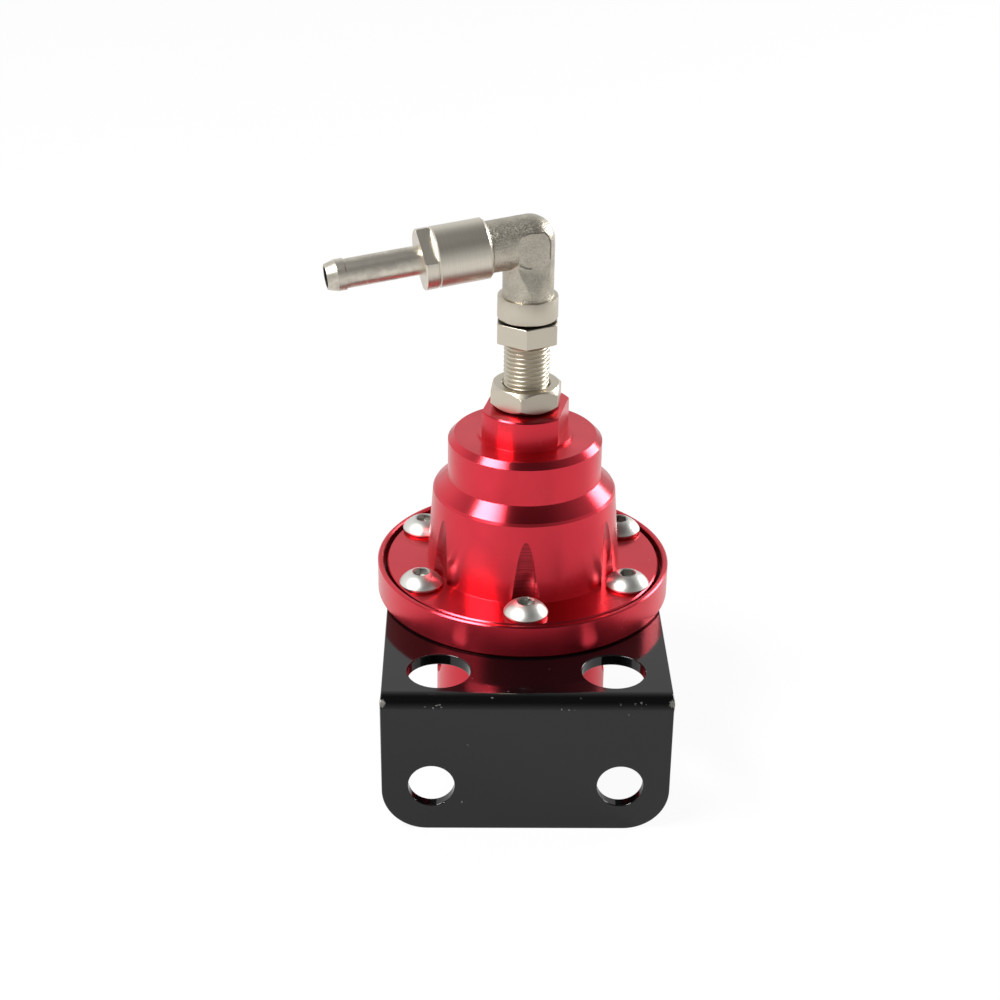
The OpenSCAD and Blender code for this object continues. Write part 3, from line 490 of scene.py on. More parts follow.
cut_thread = thread_tree()
for port_name, port_axis, port_mouth, port_length in PORTS:
    low = -port_length * MM
    port = looped(port_name + "_port_thread", [
        (low, PORT_BACK), *wall_rings(low, PORT_LIP, PORT_RADIUS, PORT_PITCH),
        (PORT_LIP, PORT_BACK)], joined=True)
    grown(port, cut_thread, {
        "Wall radius": PORT_RADIUS, "Pitch": PORT_PITCH, "Depth": PORT_DEPTH, "Start": low,
        "End": PORT_LIP, "Run-out": PORT_PITCH, "Material": anodised})
    facing = Vector(port_axis).to_track_quat("Z", "Y").to_matrix().to_4x4()
    port.data.transform(Matrix.Translation(Vector(port_mouth) * MM) @ facing)
    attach(port, "housing")

# Bonnet: the turned cover with its scalloped skirt, shoulder, drum and neck with two spanner flats.
# It has the lower body's anodised finish. The screws clamp it inside the rim, where its edge is
# drawn in so that the groove is as wide and dark as in the photograph.
LID_EDGE = 29.5 * MM
LID_DRAWN_IN = 0.6 * MM

bonnet = softened("bonnet_turned", "bonnet", BODY_BREAK, anodised)
for vertex in bonnet.data.vertices:
    reach = vertex.co.xy.length
    if reach > LID_EDGE:
        vertex.co.xy *= (reach - LID_DRAWN_IN) / reach
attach(bonnet, "housing")
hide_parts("bonnet")

# Inner pieces: the valve's plates, nut, ball and seat, the spring's button, the seals and the clip.
# They are turned aluminium and brass, plated and spring steel and moulded rubber, and all but the
# lock nut's ring are shut inside.
FINE_GRAIN = 0.30 * MM
ALUMINIUM = "#c9c9c6"
ZINC = "#bdbdb8"
SPRING_STEEL = "#8d8c8a"
BRASS = "#c8a052"
RUBBER_DARK = "#101010"
RUBBER_LIGHT = "#1d1d1c"
RUBBER_RELIEF = 0.01 * MM
# Dark colour painted onto pieces: painted shade in hollows, gaps and creases, and a darker nut face.
PAINTED_DARKNESS = "#191613"


def paint_darker(piece, share):
    """Paints a piece darker, mostly as painted shade; share says how dark it is at a place in millimetres.
    """
    marks = piece.data.attributes.new("paint_darkness", "FLOAT", "POINT")
    for vertex, mark in zip(piece.data.vertices, marks.data):
        mark.value = share(vertex.co / MM)


def painted_darker_colour(tree, colour):
    """A finish's colour, darkened where its piece is painted darker."""
    marks = add_node(tree, "ShaderNodeAttribute", attribute_name="paint_darkness")
    darkened = add_node(tree, "ShaderNodeMix", {
        "Factor": marks.outputs["Fac"], 6: colour, 7: to_linear(PAINTED_DARKNESS)}, data_type="RGBA")
    return darkened.outputs[2]


def machined_metal(name, colour, roughness, grain, relief_share=0.01):
    """Bare metal with a fine machined grain that breaks up its gloss."""
    material, tree = new_material(name)
    place = add_node(tree, "ShaderNodeTexCoord").outputs["Object"]
    speckle = add_node(tree, "ShaderNodeTexNoise", {
        "Vector": place, "Scale": 1 / grain, "Detail": 3.0})
    gloss = add_node(tree, "ShaderNodeMapRange", {
        "Value": speckle.outputs["Fac"], "To Min": roughness * 0.8, "To Max": roughness * 1.2})
    relief = add_node(tree, "ShaderNodeBump", {
        "Height": speckle.outputs["Fac"], "Strength": 1.0, "Distance": grain * relief_share})
    shader = add_node(tree, "ShaderNodeBsdfPrincipled", {
        "Base Color": painted_darker_colour(tree, to_linear(colour)), "Metallic": 1.0,
        "Roughness": gloss.outputs[0], "Normal": relief.outputs[0]})
    add_node(tree, "ShaderNodeOutputMaterial", {"Surface": shader.outputs[0]})
    return material


def black_rubber():
    """Moulded nitrile rubber: dull black with a fine matt skin."""
    material, tree = new_material("moulded_nitrile_rubber")
    place = add_node(tree, "ShaderNodeTexCoord").outputs["Object"]
    skin = add_node(tree, "ShaderNodeTexNoise", {
        "Vector": place, "Scale": 1 / FINE_GRAIN, "Detail": 3.0})
    relief = add_node(tree, "ShaderNodeBump", {
        "Height": skin.outputs["Fac"], "Strength": 1.0, "Distance": RUBBER_RELIEF})
    shade = add_node(tree, "ShaderNodeMix", {
        "Factor": skin.outputs["Fac"], 6: to_linear(RUBBER_DARK), 7: to_linear(RUBBER_LIGHT)},
        data_type="RGBA")
    shader = add_node(tree, "ShaderNodeBsdfPrincipled", {
        "Base Color": shade.outputs[2], "Roughness": 0.62, "Normal": relief.outputs[0]})
    add_node(tree, "ShaderNodeOutputMaterial", {"Surface": shader.outputs[0]})
    return material


rubber = black_rubber()
aluminium = machined_metal("turned_aluminium", ALUMINIUM, roughness=0.3, grain=FINE_GRAIN)
plated = machined_metal("zinc_plated_steel", ZINC, roughness=0.3, grain=FINE_GRAIN)
spring_wire = machined_metal("oiled_spring_steel", SPRING_STEEL, roughness=0.35, grain=FINE_GRAIN)
brass = machined_metal("turned_brass", BRASS, roughness=0.28, grain=FINE_GRAIN)
for inner_node, inner_finish in (
        ("seat_seal", rubber), ("swivel_seal", rubber), ("lock_nut_seal", rubber),
        ("lower_plate", aluminium), ("upper_plate", aluminium), ("spring_button", aluminium),
        ("plate_nut", plated), ("valve_ball", plated),
        ("swivel_clip", spring_wire), ("valve_seat", brass)):
    finish_node(inner_node, inner_finish)

# Diaphragm: the disc of black rubber with one raised fold, moulded, and clamped under the bonnet.
# Its middle goes up and down with the plates, its rim stays, and the fold stretches between them.
PLATE_EDGE = 11.7
RIM_EDGE = 16.7


def follow(piece, one, other, shares):
    """Lets a soft piece stretch between two bodies: where its share is 0 it goes with one, and
    where it is 1 with the other."""
    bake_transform(piece, one, other, start=(0, 0, 0), end=(0, 0, 1))
    weights = piece.data.attributes["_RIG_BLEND"].data
    weights.foreach_set("value", [min(max(share, 0.0), 1.0) for share in shares])


diaphragm = welded_copy("diaphragm_moulded", "diaphragm")
diaphragm.data.materials.append(rubber)
follow(diaphragm, "valve", "housing", [
    (vertex.co.xy.length / MM - PLATE_EDGE) / (RIM_EDGE - PLATE_EDGE)
    for vertex in diaphragm.data.vertices])
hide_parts("diaphragm")

# Main spring: round steel wire, coiled with closed ends, between the upper plate and the button.
# It has two lengths that meet at a turn that stays: the foot's lower end goes with the valve, and
# the head's upper end with the button.
SPRING_FOOT = 37.9 * MM
SPRING_LENGTH = 23.1 * MM
COIL_RADIUS = 9.9 * MM
WIRE = 2.2 * MM
WIRE_SIDES = 12
COIL_TURNS = 6.0
COIL_STEPS = 24
CLOSED_TURNS = 0.75
CLOSED_PITCH_SHARE = 0.9
CLOSED_RISE = CLOSED_TURNS * CLOSED_PITCH_SHARE * WIRE
STILL_TURN = 1.25
STILL_GAP = 0.0005


def wire_tree():
    """Sweeps round wire along a centre line."""
    tree, given = geometry_tree("wire_on_path", (("Material", "NodeSocketMaterial"),))
    line = add_node(tree, "GeometryNodeMeshToCurve", {"Mesh": given["Geometry"]})
    section = add_node(tree, "GeometryNodeCurvePrimitiveCircle", {
        "Resolution": WIRE_SIDES, "Radius": WIRE / 2})
    wire = add_node(tree, "GeometryNodeCurveToMesh", {
        "Curve": line.outputs[0], "Profile Curve": section.outputs[0], "Fill Caps": True})
    close_tree(tree, wire.outputs[0], given["Material"])
    return tree


def coil_height(turn):
    """Height of the wire's centre line after some turns, above its lower end."""
    top = SPRING_LENGTH - WIRE
    if turn < CLOSED_TURNS:
        return CLOSED_RISE * turn / CLOSED_TURNS
    if turn > COIL_TURNS - CLOSED_TURNS:
        return top - CLOSED_RISE * (COIL_TURNS - turn) / CLOSED_TURNS
    open_rise = top - 2 * CLOSED_RISE
    return CLOSED_RISE + open_rise * (turn - CLOSED_TURNS) / (COIL_TURNS - 2 * CLOSED_TURNS)


wire_on_path = wire_tree()
for spring_name, first, last, bodies, free_from, free_to in (
        ("main_spring_foot", 0.0, STILL_TURN, ("valve", "housing"), CLOSED_TURNS, STILL_TURN),
        ("main_spring_head", STILL_TURN + STILL_GAP, COIL_TURNS, ("housing", "spring_seat"),
         STILL_TURN, COIL_TURNS - CLOSED_TURNS)):
    steps = math.ceil((last - first) * COIL_STEPS)
    turns = [first + (last - first) * i / steps for i in range(steps + 1)]
    line = bpy.data.meshes.new(spring_name)
    line.from_pydata([
        (COIL_RADIUS * math.cos(2 * math.pi * turn), COIL_RADIUS * math.sin(2 * math.pi * turn),
         SPRING_FOOT + WIRE / 2 + coil_height(turn)) for turn in turns],
        [(i, i + 1) for i in range(steps)], [])
    line.attributes.new("turn", "FLOAT", "POINT").data.foreach_set("value", turns)
    spring = grown(add_object(spring_name, line), wire_on_path, {"Material": spring_wire})
    spring.data.shade_smooth()
    spring.data.set_sharp_from_angle(angle=SHARP)
    follow(spring, *bodies, [
        (mark.value - free_from) / (free_to - free_from)
        for mark in spring.data.attributes["turn"].data])
    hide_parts("main_spring")

# Bonnet screws: six domed socket screws of stainless steel that clamp the bonnet. Their heads are
# cold formed and tumbled to a satin shine, and their sockets stand at chance angles.
STAINLESS = "#dcdcd6"
STAINLESS_GRAIN = 0.30 * MM
SCREW_SEED = 7
BONNET_SCREW = {"shank": 5, "length": 6.5, "head": 9.5, "height": 3.2, "foot": 0.55, "edge": 0.3,
                "socket": 3, "depth": 1.6}
DOME_FULLNESS = 0.94
DOME_RINGS = 12
SHANK_BEVEL = 0.4
MOUTH_SHARE = 0.64
SOCKET_MOUTH = 1.9
SOCKET_PAINTED_SHADE = 0.4


def hexagon(across, turn=0.0, corner=0.0):
    """Radius of a hexagon at an angle, with its corners taken off by a small amount."""
    sixth = math.pi / 3
    largest = across / 2 / math.cos(sixth / 2) - corner

    def radius(angle):
        off_middle = (angle - turn + sixth / 2) % sixth - sixth / 2
        return min(largest, across / 2 / math.cos(off_middle))
    return radius


def domed_screw(name, shank, length, head, height, foot, edge, socket, depth, up=1):
    """One domed screw seated at z = 0, head up, or down where up is -1; sizes in millimetres."""
    radius = head / 2
    dome_foot = foot + edge
    dome = (radius ** 2 + (height - dome_foot) ** 2) / (2 * (height - dome_foot)) * DOME_FULLNESS
    centre = dome_foot - math.sqrt(dome ** 2 - radius ** 2)
    mouth = socket * MOUTH_SHARE
    rings = [(-length, 0), (-length, shank / 2 - SHANK_BEVEL), (-length + SHANK_BEVEL, shank / 2),
             (0, shank / 2), (0, radius - foot), (foot * 0.75, radius - foot * 0.22),
             (foot * 1.05, radius - 0.03), (dome_foot - 0.04, radius - 0.01)]
    for i in range(1, DOME_RINGS + 1):
        reach = radius - 0.06 + (mouth + 0.06 - radius) * i / DOME_RINGS
        rings.append((centre + math.sqrt(dome ** 2 - reach ** 2), reach))
    top = rings[-1][0]
    rings += [(top - 0.03, mouth - 0.06), (top - 0.14, hexagon(socket * 1.02)),
              (height - depth, hexagon(socket)), (height - depth - 0.3, 0)]
    return looped(name, [
        (up * z * MM, (lambda angle, r=r: r(angle) * MM) if callable(r) else r * MM)
        for z, r in rings])


def screw_circle_tree():
    """Sets copies of a screw around a circle, each turned by chance about its own axis."""
    number = "NodeSocketFloat"
    tree, given = geometry_tree("screw_circle", (
        ("Count", "NodeSocketInt"), ("Circle radius", number), ("Seat height", number),
        ("First angle", number), ("Seed", "NodeSocketInt"), ("Material", "NodeSocketMaterial")))
    index = add_node(tree, "GeometryNodeInputIndex").outputs[0]
    share = add_node(tree, "ShaderNodeMath", {0: index, 1: given["Count"]}, operation="DIVIDE")
    angle = add_node(tree, "ShaderNodeMath", {
        0: share.outputs[0], 1: 2 * math.pi, 2: given["First angle"]}, operation="MULTIPLY_ADD")
    spot = []
    for trig in ("COSINE", "SINE"):
        part = add_node(tree, "ShaderNodeMath", {0: angle.outputs[0]}, operation=trig)
        spot.append(add_node(tree, "ShaderNodeMath", {
            0: part.outputs[0], 1: given["Circle radius"]}, operation="MULTIPLY").outputs[0])
    place = add_node(tree, "ShaderNodeCombineXYZ", {
        "X": spot[0], "Y": spot[1], "Z": given["Seat height"]})
    points = add_node(tree, "GeometryNodePoints", {
        "Count": given["Count"], "Position": place.outputs[0]})
    chance = add_node(tree, "FunctionNodeRandomValue", {
        2: 0.0, 3: math.pi / 3, "Seed": given["Seed"]}, data_type="FLOAT")
    spin = add_node(tree, "ShaderNodeCombineXYZ", {"Z": chance.outputs[1]})
    turned_to = add_node(tree, "FunctionNodeEulerToRotation", {0: spin.outputs[0]})
    screws = add_node(tree, "GeometryNodeInstanceOnPoints", {
        "Points": points.outputs[0], "Instance": given["Geometry"],
        "Rotation": turned_to.outputs[0]})
    close_tree(tree, screws.outputs[0], given["Material"])
    return tree


screw_circle = screw_circle_tree()
stainless = machined_metal(
    "tumbled_stainless_steel", STAINLESS, roughness=0.38, grain=STAINLESS_GRAIN, relief_share=0.02)
bonnet_screws = domed_screw("bonnet_screw_set", **BONNET_SCREW)
# The screws' sockets are painted darker inside: a painted shade in the hollow.
paint_darker(bonnet_screws,
     lambda spot: SOCKET_PAINTED_SHADE if spot.z > 1 and spot.xy.length < SOCKET_MOUTH else 0.0)
grown(bonnet_screws, screw_circle, {
    "Count": 6, "Circle radius": SCREW_CIRCLE, "Seat height": SCREW_SEAT,
    "First angle": -math.pi / 2, "Seed": SCREW_SEED, "Material": stainless})
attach(bonnet_screws, "housing")
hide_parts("bonnet_screws")

# Adjusting screw: the stud that sets the spring, turned from brass with a cut M10 x 1 thread, a
# spanner hexagon and the spigot that the elbow swivels on, then nickel plated.
STUD_FOOT = 64.05 * MM
STUD_HEX = 91.8 * MM
STUD_SPIGOT = 96.3 * MM
STUD_TOP = 104.0 * MM
STUD_RADIUS = 4.92 * MM
STUD_BEVEL = 0.8 * MM
STUD_ACROSS = 12.7 * MM
STUD_TURN = math.radians(-2)
STUD_PITCH = 1.0 * MM
STUD_DEPTH = 0.66 * MM
STUD_RUN_OUT = 0.3 * MM
NECK_LENGTH = 0.6 * MM
NECK_RADIUS = STUD_RADIUS - 0.6 * MM
HEX_BREAK = 0.12 * MM
HEX_CORNER = 0.08 * MM
SPIGOT_RADIUS = 4.0 * MM
SPIGOT_BEVEL = 0.4 * MM
NICKEL = "#cec6b6"
NICKEL_GRAIN = 0.35 * MM

nickel = machined_metal(
    "nickel_plated_brass", NICKEL, roughness=0.33, grain=NICKEL_GRAIN, relief_share=0.012)
hex_small = hexagon(STUD_ACROSS - 2 * HEX_BREAK, STUD_TURN, HEX_CORNER)
hex_full = hexagon(STUD_ACROSS, STUD_TURN, HEX_CORNER)
thread_low, thread_high = STUD_FOOT + STUD_BEVEL, STUD_HEX - STUD_PITCH
stud = looped("adjusting_screw_cut", [
    (STUD_FOOT, 0), (STUD_FOOT, STUD_RADIUS - STUD_BEVEL),
    *wall_rings(thread_low, thread_high, STUD_RADIUS, STUD_PITCH),
    (STUD_HEX - NECK_LENGTH, NECK_RADIUS), (STUD_HEX, NECK_RADIUS),
    (STUD_HEX, hex_small), (STUD_HEX + HEX_BREAK, hex_full), (STUD_SPIGOT - HEX_BREAK, hex_full),
    (STUD_SPIGOT, hex_small), (STUD_SPIGOT, SPIGOT_RADIUS),
    (STUD_TOP - SPIGOT_BEVEL, SPIGOT_RADIUS), (STUD_TOP, SPIGOT_RADIUS - SPIGOT_BEVEL),
    (STUD_TOP, 0)], start=STUD_TURN)
grown(stud, cut_thread, {
    "Wall radius": STUD_RADIUS, "Pitch": STUD_PITCH, "Depth": STUD_DEPTH, "Start": thread_low,
    "End": thread_high + STUD_RUN_OUT, "Run-out": STUD_RUN_OUT, "Material": nickel})
# The spigot and the hexagon's top inside the collar are painted dark: a painted shade in the swivel's gap.
paint_darker(stud, lambda spot: 1.0 if spot.z > STUD_SPIGOT / MM - 0.01 and spot.xy.length < 5 else 0.0)
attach(stud, "adjuster")
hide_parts("adjusting_screw")

# Lock nut: a thin hexagon nut that locks the adjusting screw, bevelled on both sides, of the same
# nickel-plated brass, with a soft break along its edges. One of its faces is painted darker.
NUT_HALF = 7.2
NUT_BREAK = 0.14 * MM
DARKENED_FACE = Vector((math.cos(math.radians(-68)), math.sin(math.radians(-68)), 0))
DARKENED_FACE_SHARE = 0.25

nut = softened("lock_nut_bevelled", "lock_nut", NUT_BREAK, nickel, steps=3)
# One face of the nut is painted darker.
paint_darker(nut, lambda spot: DARKENED_FACE_SHARE if spot.dot(DARKENED_FACE) > NUT_HALF - 0.03 else 0.0)
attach(nut, "nut")
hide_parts("lock_nut")

# Elbow: the swivelling corner of the vacuum line, forged from brass and nickel plated, with the
# grain of the die on it. Its lower end is turned to a smooth collar that sits over the spigot.
FORGED = "#cdc6b7"
FORGED_GRAIN = 0.28 * MM
VOXEL = 0.16 * MM
SKIN_PASSES = 4
FORGING_COARSE = 1.2
FORGING_FINE = 0.36
FORGING_DEPTH = (0.05, 0.07)
COLLAR_FOOT = 96.8
COLLAR_TOP = 101.9
COLLAR_RADIUS = 6.5
COLLAR_BORE = 4.2
COLLAR_LIP = 5.2
COLLAR_DENT = 0.7
COLLAR_DENT_DEPTH = 0.09
TUCKED_IN = 0.3
STEM_RADIUS = 5.6
LEG_BORE = 3.2
BEND = Vector((0, 0, 113.8))
LEG_ALONG = Vector((-0.96335, -0.24556, -0.10800))
LEG_FACE = 9.0
LEG_TURN = Matrix.Rotation(math.radians(-14.3), 3, "Z")
PAD_HALF = 4.2
PAD_LEFT = -3.6
PAD_FOOT = -4.9
PAD_RAMP = 6.0
PAD_RAMP_LEAST = 0.3
PAD_RAMP_WIDTH = 2.6
PAD_PAINTED_SHADE = 0.62
LEDGE_PASSES = 8
PAD_LINES = (((-2.9, -4.1), (-1.6, -4.75), (-0.6, -4.9)),
             ((-2.6, 2.2), (-1.0, 2.8), (2.1, 2.8), (3.0, 1.85), (3.5, 0.3), (3.5, -3.0)))
PAD_LINE_HALF = 0.22


def forged_metal(name, colour, roughness, grain):
    """Nickel over a forged skin: the pitted die surface scatters the light into small sparkles."""
    material, tree = new_material(name)
    place = add_node(tree, "ShaderNodeTexCoord").outputs["Object"]
    pits = add_node(tree, "ShaderNodeTexNoise", {
        "Vector": place, "Scale": 1 / grain, "Detail": 4.0, "Roughness": 0.6})
    smudge = add_node(tree, "ShaderNodeTexNoise", {
        "Vector": place, "Scale": 1 / (9 * grain), "Detail": 2.0})
    tint = add_node(tree, "ShaderNodeMapRange", {
        "Value": smudge.outputs["Fac"], "From Min": 0.35, "From Max": 0.65,
        "To Min": 0.82, "To Max": 1.0})
    shade = add_node(tree, "ShaderNodeVectorMath", {
        0: to_linear(colour)[:3], "Scale": tint.outputs[0]}, operation="SCALE")
    gloss = add_node(tree, "ShaderNodeMapRange", {
        "Value": pits.outputs["Fac"], "From Min": NOISE_LOW, "From Max": NOISE_HIGH,
        "To Min": roughness * 0.75, "To Max": roughness * 1.25})
    relief = add_node(tree, "ShaderNodeBump", {
        "Height": pits.outputs["Fac"], "Strength": 1.0, "Distance": grain * 0.16})
    speckle = add_node(tree, "ShaderNodeMapRange", {
        "Value": pits.outputs["Fac"], "From Min": NOISE_LOW, "From Max": NOISE_HIGH,
        "To Min": 0.72, "To Max": 1.15})
    grained = add_node(tree, "ShaderNodeVectorMath", {
        0: shade.outputs[0], "Scale": speckle.outputs[0]}, operation="SCALE")
    shader = add_node(tree, "ShaderNodeBsdfPrincipled", {
        "Base Color": painted_darker_colour(tree, grained.outputs[0]), "Metallic": 1.0,
        "Roughness": gloss.outputs[0], "Normal": relief.outputs[0]})
    add_node(tree, "ShaderNodeOutputMaterial", {"Surface": shader.outputs[0]})
    return material


def pad_crease_painted_shade(spot):
    """How dark the painted shade is at a place of the elbow: it fills the sharp parts of the pads' outline.
    """
    across, depth, up = LEG_TURN @ (spot - BEND)
    if not PAD_HALF - 0.5 < abs(depth) < PAD_HALF + 0.5:
        return 0.0
    here = Vector((across, up))
    nearest = 1.0
    for line in PAD_LINES:
        for one, two in zip(line, line[1:]):
            start, along = Vector(one), Vector(two) - Vector(one)
            share = min(1.0, max(0.0, (here - start).dot(along) / along.length_squared))
            nearest = min(nearest, (here - start - along * share).length)
    return PAD_PAINTED_SHADE * min(1.0, max(0.0, 2 - 2 * nearest / PAD_LINE_HALF))


def sloped_pad(spot):
    """Eases the step below a pad into a slope, steep at the left end only."""
    across, depth, up = LEG_TURN @ (spot - BEND)
    inboard = min(1.0, max(0.0, (across - PAD_LEFT) / PAD_RAMP_WIDTH))
    ramp = PAD_RAMP_LEAST + PAD_RAMP * inboard
    below = (PAD_FOOT + 0.2 - up) / ramp
    if abs(depth) > PAD_HALF and 0 < below + 0.3 and below < 1:
        below = max(0.0, below)
        eased = PAD_HALF + (abs(depth) - PAD_HALF) * below * below * (3 - 2 * below)
        depth = math.copysign(eased, depth)
        return LEG_TURN.transposed() @ Vector((across, depth, up)) + BEND
    return spot


forged = forged_metal("forged_nickel_plated_brass", FORGED, roughness=0.42, grain=FORGED_GRAIN)
elbow = welded_copy("elbow_forging", "elbow")
skin = elbow.modifiers.new("skin", "REMESH")
skin.mode = "VOXEL"
skin.voxel_size = VOXEL
worn = elbow.modifiers.new("worn", "SMOOTH")
worn.factor = 0.5
worn.iterations = SKIN_PASSES
applied(elbow)
for vertex, normal in zip(elbow.data.vertices, elbow.data.vertex_normals):
    spot = vertex.co / MM
    reach = math.hypot(spot.x, spot.y)
    along = (spot - BEND).dot(LEG_ALONG)
    if spot.z < COLLAR_TOP + TUCKED_IN and reach > COLLAR_LIP:
        tucked = min(reach, COLLAR_RADIUS - TUCKED_IN) / reach
        spot.x, spot.y = spot.x * tucked, spot.y * tucked
        ceiling = max(COLLAR_TOP - TUCKED_IN, spot.z if reach < STEM_RADIUS else 0)
        spot.z = min(max(spot.z, COLLAR_FOOT + 0.2), ceiling)
    elif along < LEG_FACE - 0.2 and reach > LEG_BORE or spot.z > BEND.z:
        rough = (FORGING_DEPTH[0] * (noise.noise(spot / FORGING_COARSE) - 1)
                 + FORGING_DEPTH[1] * (noise.noise(spot / FORGING_FINE) - 1)) / 2
        spot = sloped_pad(spot + normal.vector * rough)
    vertex.co = spot * MM
shape = bmesh.new()
shape.from_mesh(elbow.data)
ledge = []
for vert in shape.verts:
    across, depth, up = LEG_TURN @ (vert.co / MM - BEND)
    if abs(depth) > PAD_HALF - 0.3 and abs(up - PAD_FOOT) < 1.0 and across > PAD_LEFT + 1.5:
        ledge.append(vert)
for i in range(LEDGE_PASSES):
    bmesh.ops.smooth_vert(
        shape, verts=ledge, factor=0.5, use_axis_x=True, use_axis_y=True, use_axis_z=True)
shape.to_mesh(elbow.data)
shape.free()
# The creases along the pads' outline are painted dark: a painted shade.
paint_darker(elbow, pad_crease_painted_shade)
elbow.data.shade_smooth()
elbow.data.materials.append(forged)
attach(elbow, "swivel")
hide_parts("elbow")

collar_rings = [
    (COLLAR_FOOT, COLLAR_BORE), (COLLAR_FOOT, COLLAR_RADIUS - 0.35),
    (COLLAR_FOOT + 0.12, COLLAR_RADIUS - 0.12), (COLLAR_FOOT + 0.35, COLLAR_RADIUS),
    (COLLAR_TOP - 0.22, COLLAR_RADIUS), (COLLAR_TOP - 0.06, COLLAR_RADIUS - 0.06),
    (COLLAR_TOP, COLLAR_RADIUS - 0.20), (COLLAR_TOP, COLLAR_LIP), (COLLAR_TOP - 0.6, COLLAR_BORE)]
collar = looped("elbow_collar", [(z * MM, r * MM) for z, r in collar_rings], joined=True)
for vertex in collar.data.vertices:
    spot = vertex.co / MM
    if spot.z > COLLAR_TOP - 0.3:
        dent = noise.noise(spot / COLLAR_DENT) - 1
        vertex.co.z += COLLAR_DENT_DEPTH * dent * MM
        vertex.co.xy *= 1 + 0.009 * (noise.noise(spot / COLLAR_DENT + Vector((7, 3, 1))) - 1)
# The collar's underside is painted dark: a painted shade in the gap above the hexagon.
paint_darker(collar, lambda spot: 1.0 if spot.z < COLLAR_FOOT + 0.01 else 0.0)
collar.data.materials.append(nickel)
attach(collar, "swivel")

# Hose nipple: the turned barb that the vacuum hose is pushed on, screwed on the elbow's side leg,
# with two spanner flats on its collar. It is nickel-plated brass with turning lines and smudges.
LATHE_NICKEL = "#dfd8ca"
LATHE_LINE = 0.16 * MM
LATHE_RELIEF = 0.006 * MM
LATHE_SHADE = (0.88, 1.04)
SMUDGE = 2.2 * MM
SMUDGE_EDGE = (0.42, 0.62)
SMUDGE_SHADE = 0.78
TUBE_START = 24.0 * MM
NIPPLE_BREAK = 0.08 * MM
BORE_EDGE = 2.1
BORE_PAINTED_SHADE = 0.85


def turned_nickel(name, colour, roughness):
    """Nickel over turned brass: fine rings across the leg's axis and darker greasy smudges."""
    material, tree = new_material(name)
    place = add_node(tree, "ShaderNodeTexCoord").outputs["Object"]
    station = add_node(tree, "ShaderNodeVectorMath", {
        0: place, 1: LEG_ALONG}, operation="DOT_PRODUCT")
    rings = add_node(tree, "ShaderNodeTexNoise", {
        "W": station.outputs["Value"], "Scale": 1 / LATHE_LINE, "Detail": 2.0},
        noise_dimensions="1D")
    smudge = add_node(tree, "ShaderNodeTexNoise", {
        "Vector": place, "Scale": 1 / SMUDGE, "Detail": 4.0, "Distortion": 0.4})
    dull = add_node(tree, "ShaderNodeMapRange", {
        "Value": smudge.outputs["Fac"], "From Min": SMUDGE_EDGE[0], "From Max": SMUDGE_EDGE[1],
        "To Min": 1.0, "To Max": SMUDGE_SHADE})
    from_bend = add_node(tree, "ShaderNodeMath", {
        0: station.outputs["Value"], 1: (BEND * MM).dot(LEG_ALONG)}, operation="SUBTRACT")
    on_tube = add_node(tree, "ShaderNodeMapRange", {
        "Value": from_bend.outputs[0], "From Min": TUBE_START, "From Max": TUBE_START + SMUDGE})
    streak = add_node(tree, "ShaderNodeMapRange", {
        "Value": rings.outputs["Fac"], "From Min": NOISE_LOW, "From Max": NOISE_HIGH,
        "To Min": LATHE_SHADE[0], "To Max": LATHE_SHADE[1]})
    handled = add_node(tree, "ShaderNodeMix", {
        "Factor": on_tube.outputs[0], 2: streak.outputs[0], 3: dull.outputs[0]})
    shade = add_node(tree, "ShaderNodeVectorMath", {
        0: to_linear(colour)[:3], "Scale": handled.outputs[0]}, operation="SCALE")
    gloss = add_node(tree, "ShaderNodeMapRange", {
        "Value": handled.outputs[0], "From Min": 1.0, "From Max": 0.6,
        "To Min": roughness, "To Max": roughness * 1.25})
    relief = add_node(tree, "ShaderNodeBump", {
        "Height": rings.outputs["Fac"], "Strength": 1.0, "Distance": LATHE_RELIEF})
    shader = add_node(tree, "ShaderNodeBsdfPrincipled", {
        "Base Color": painted_darker_colour(tree, shade.outputs[0]), "Metallic": 1.0,
        "Roughness": gloss.outputs[0], "Normal": relief.outputs[0]})
    add_node(tree, "ShaderNodeOutputMaterial", {"Surface": shader.outputs[0]})
    return material


def bore_wall_painted_shade(spot):
    """Painted shade on the wall of the nipple's bore."""
    off_axis = (spot - BEND).cross(LEG_ALONG).length
    return BORE_PAINTED_SHADE if off_axis < BORE_EDGE else 0.0


lathe_nickel = turned_nickel("turned_nickel_plated_brass", LATHE_NICKEL, roughness=0.34)
nipple = softened("hose_nipple_turned", "hose_nipple", NIPPLE_BREAK, lathe_nickel)
# The nipple's bore is painted dark: a painted shade inside it.
paint_darker(nipple, bore_wall_painted_shade)
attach(nipple, "swivel")
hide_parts("hose_nipple")

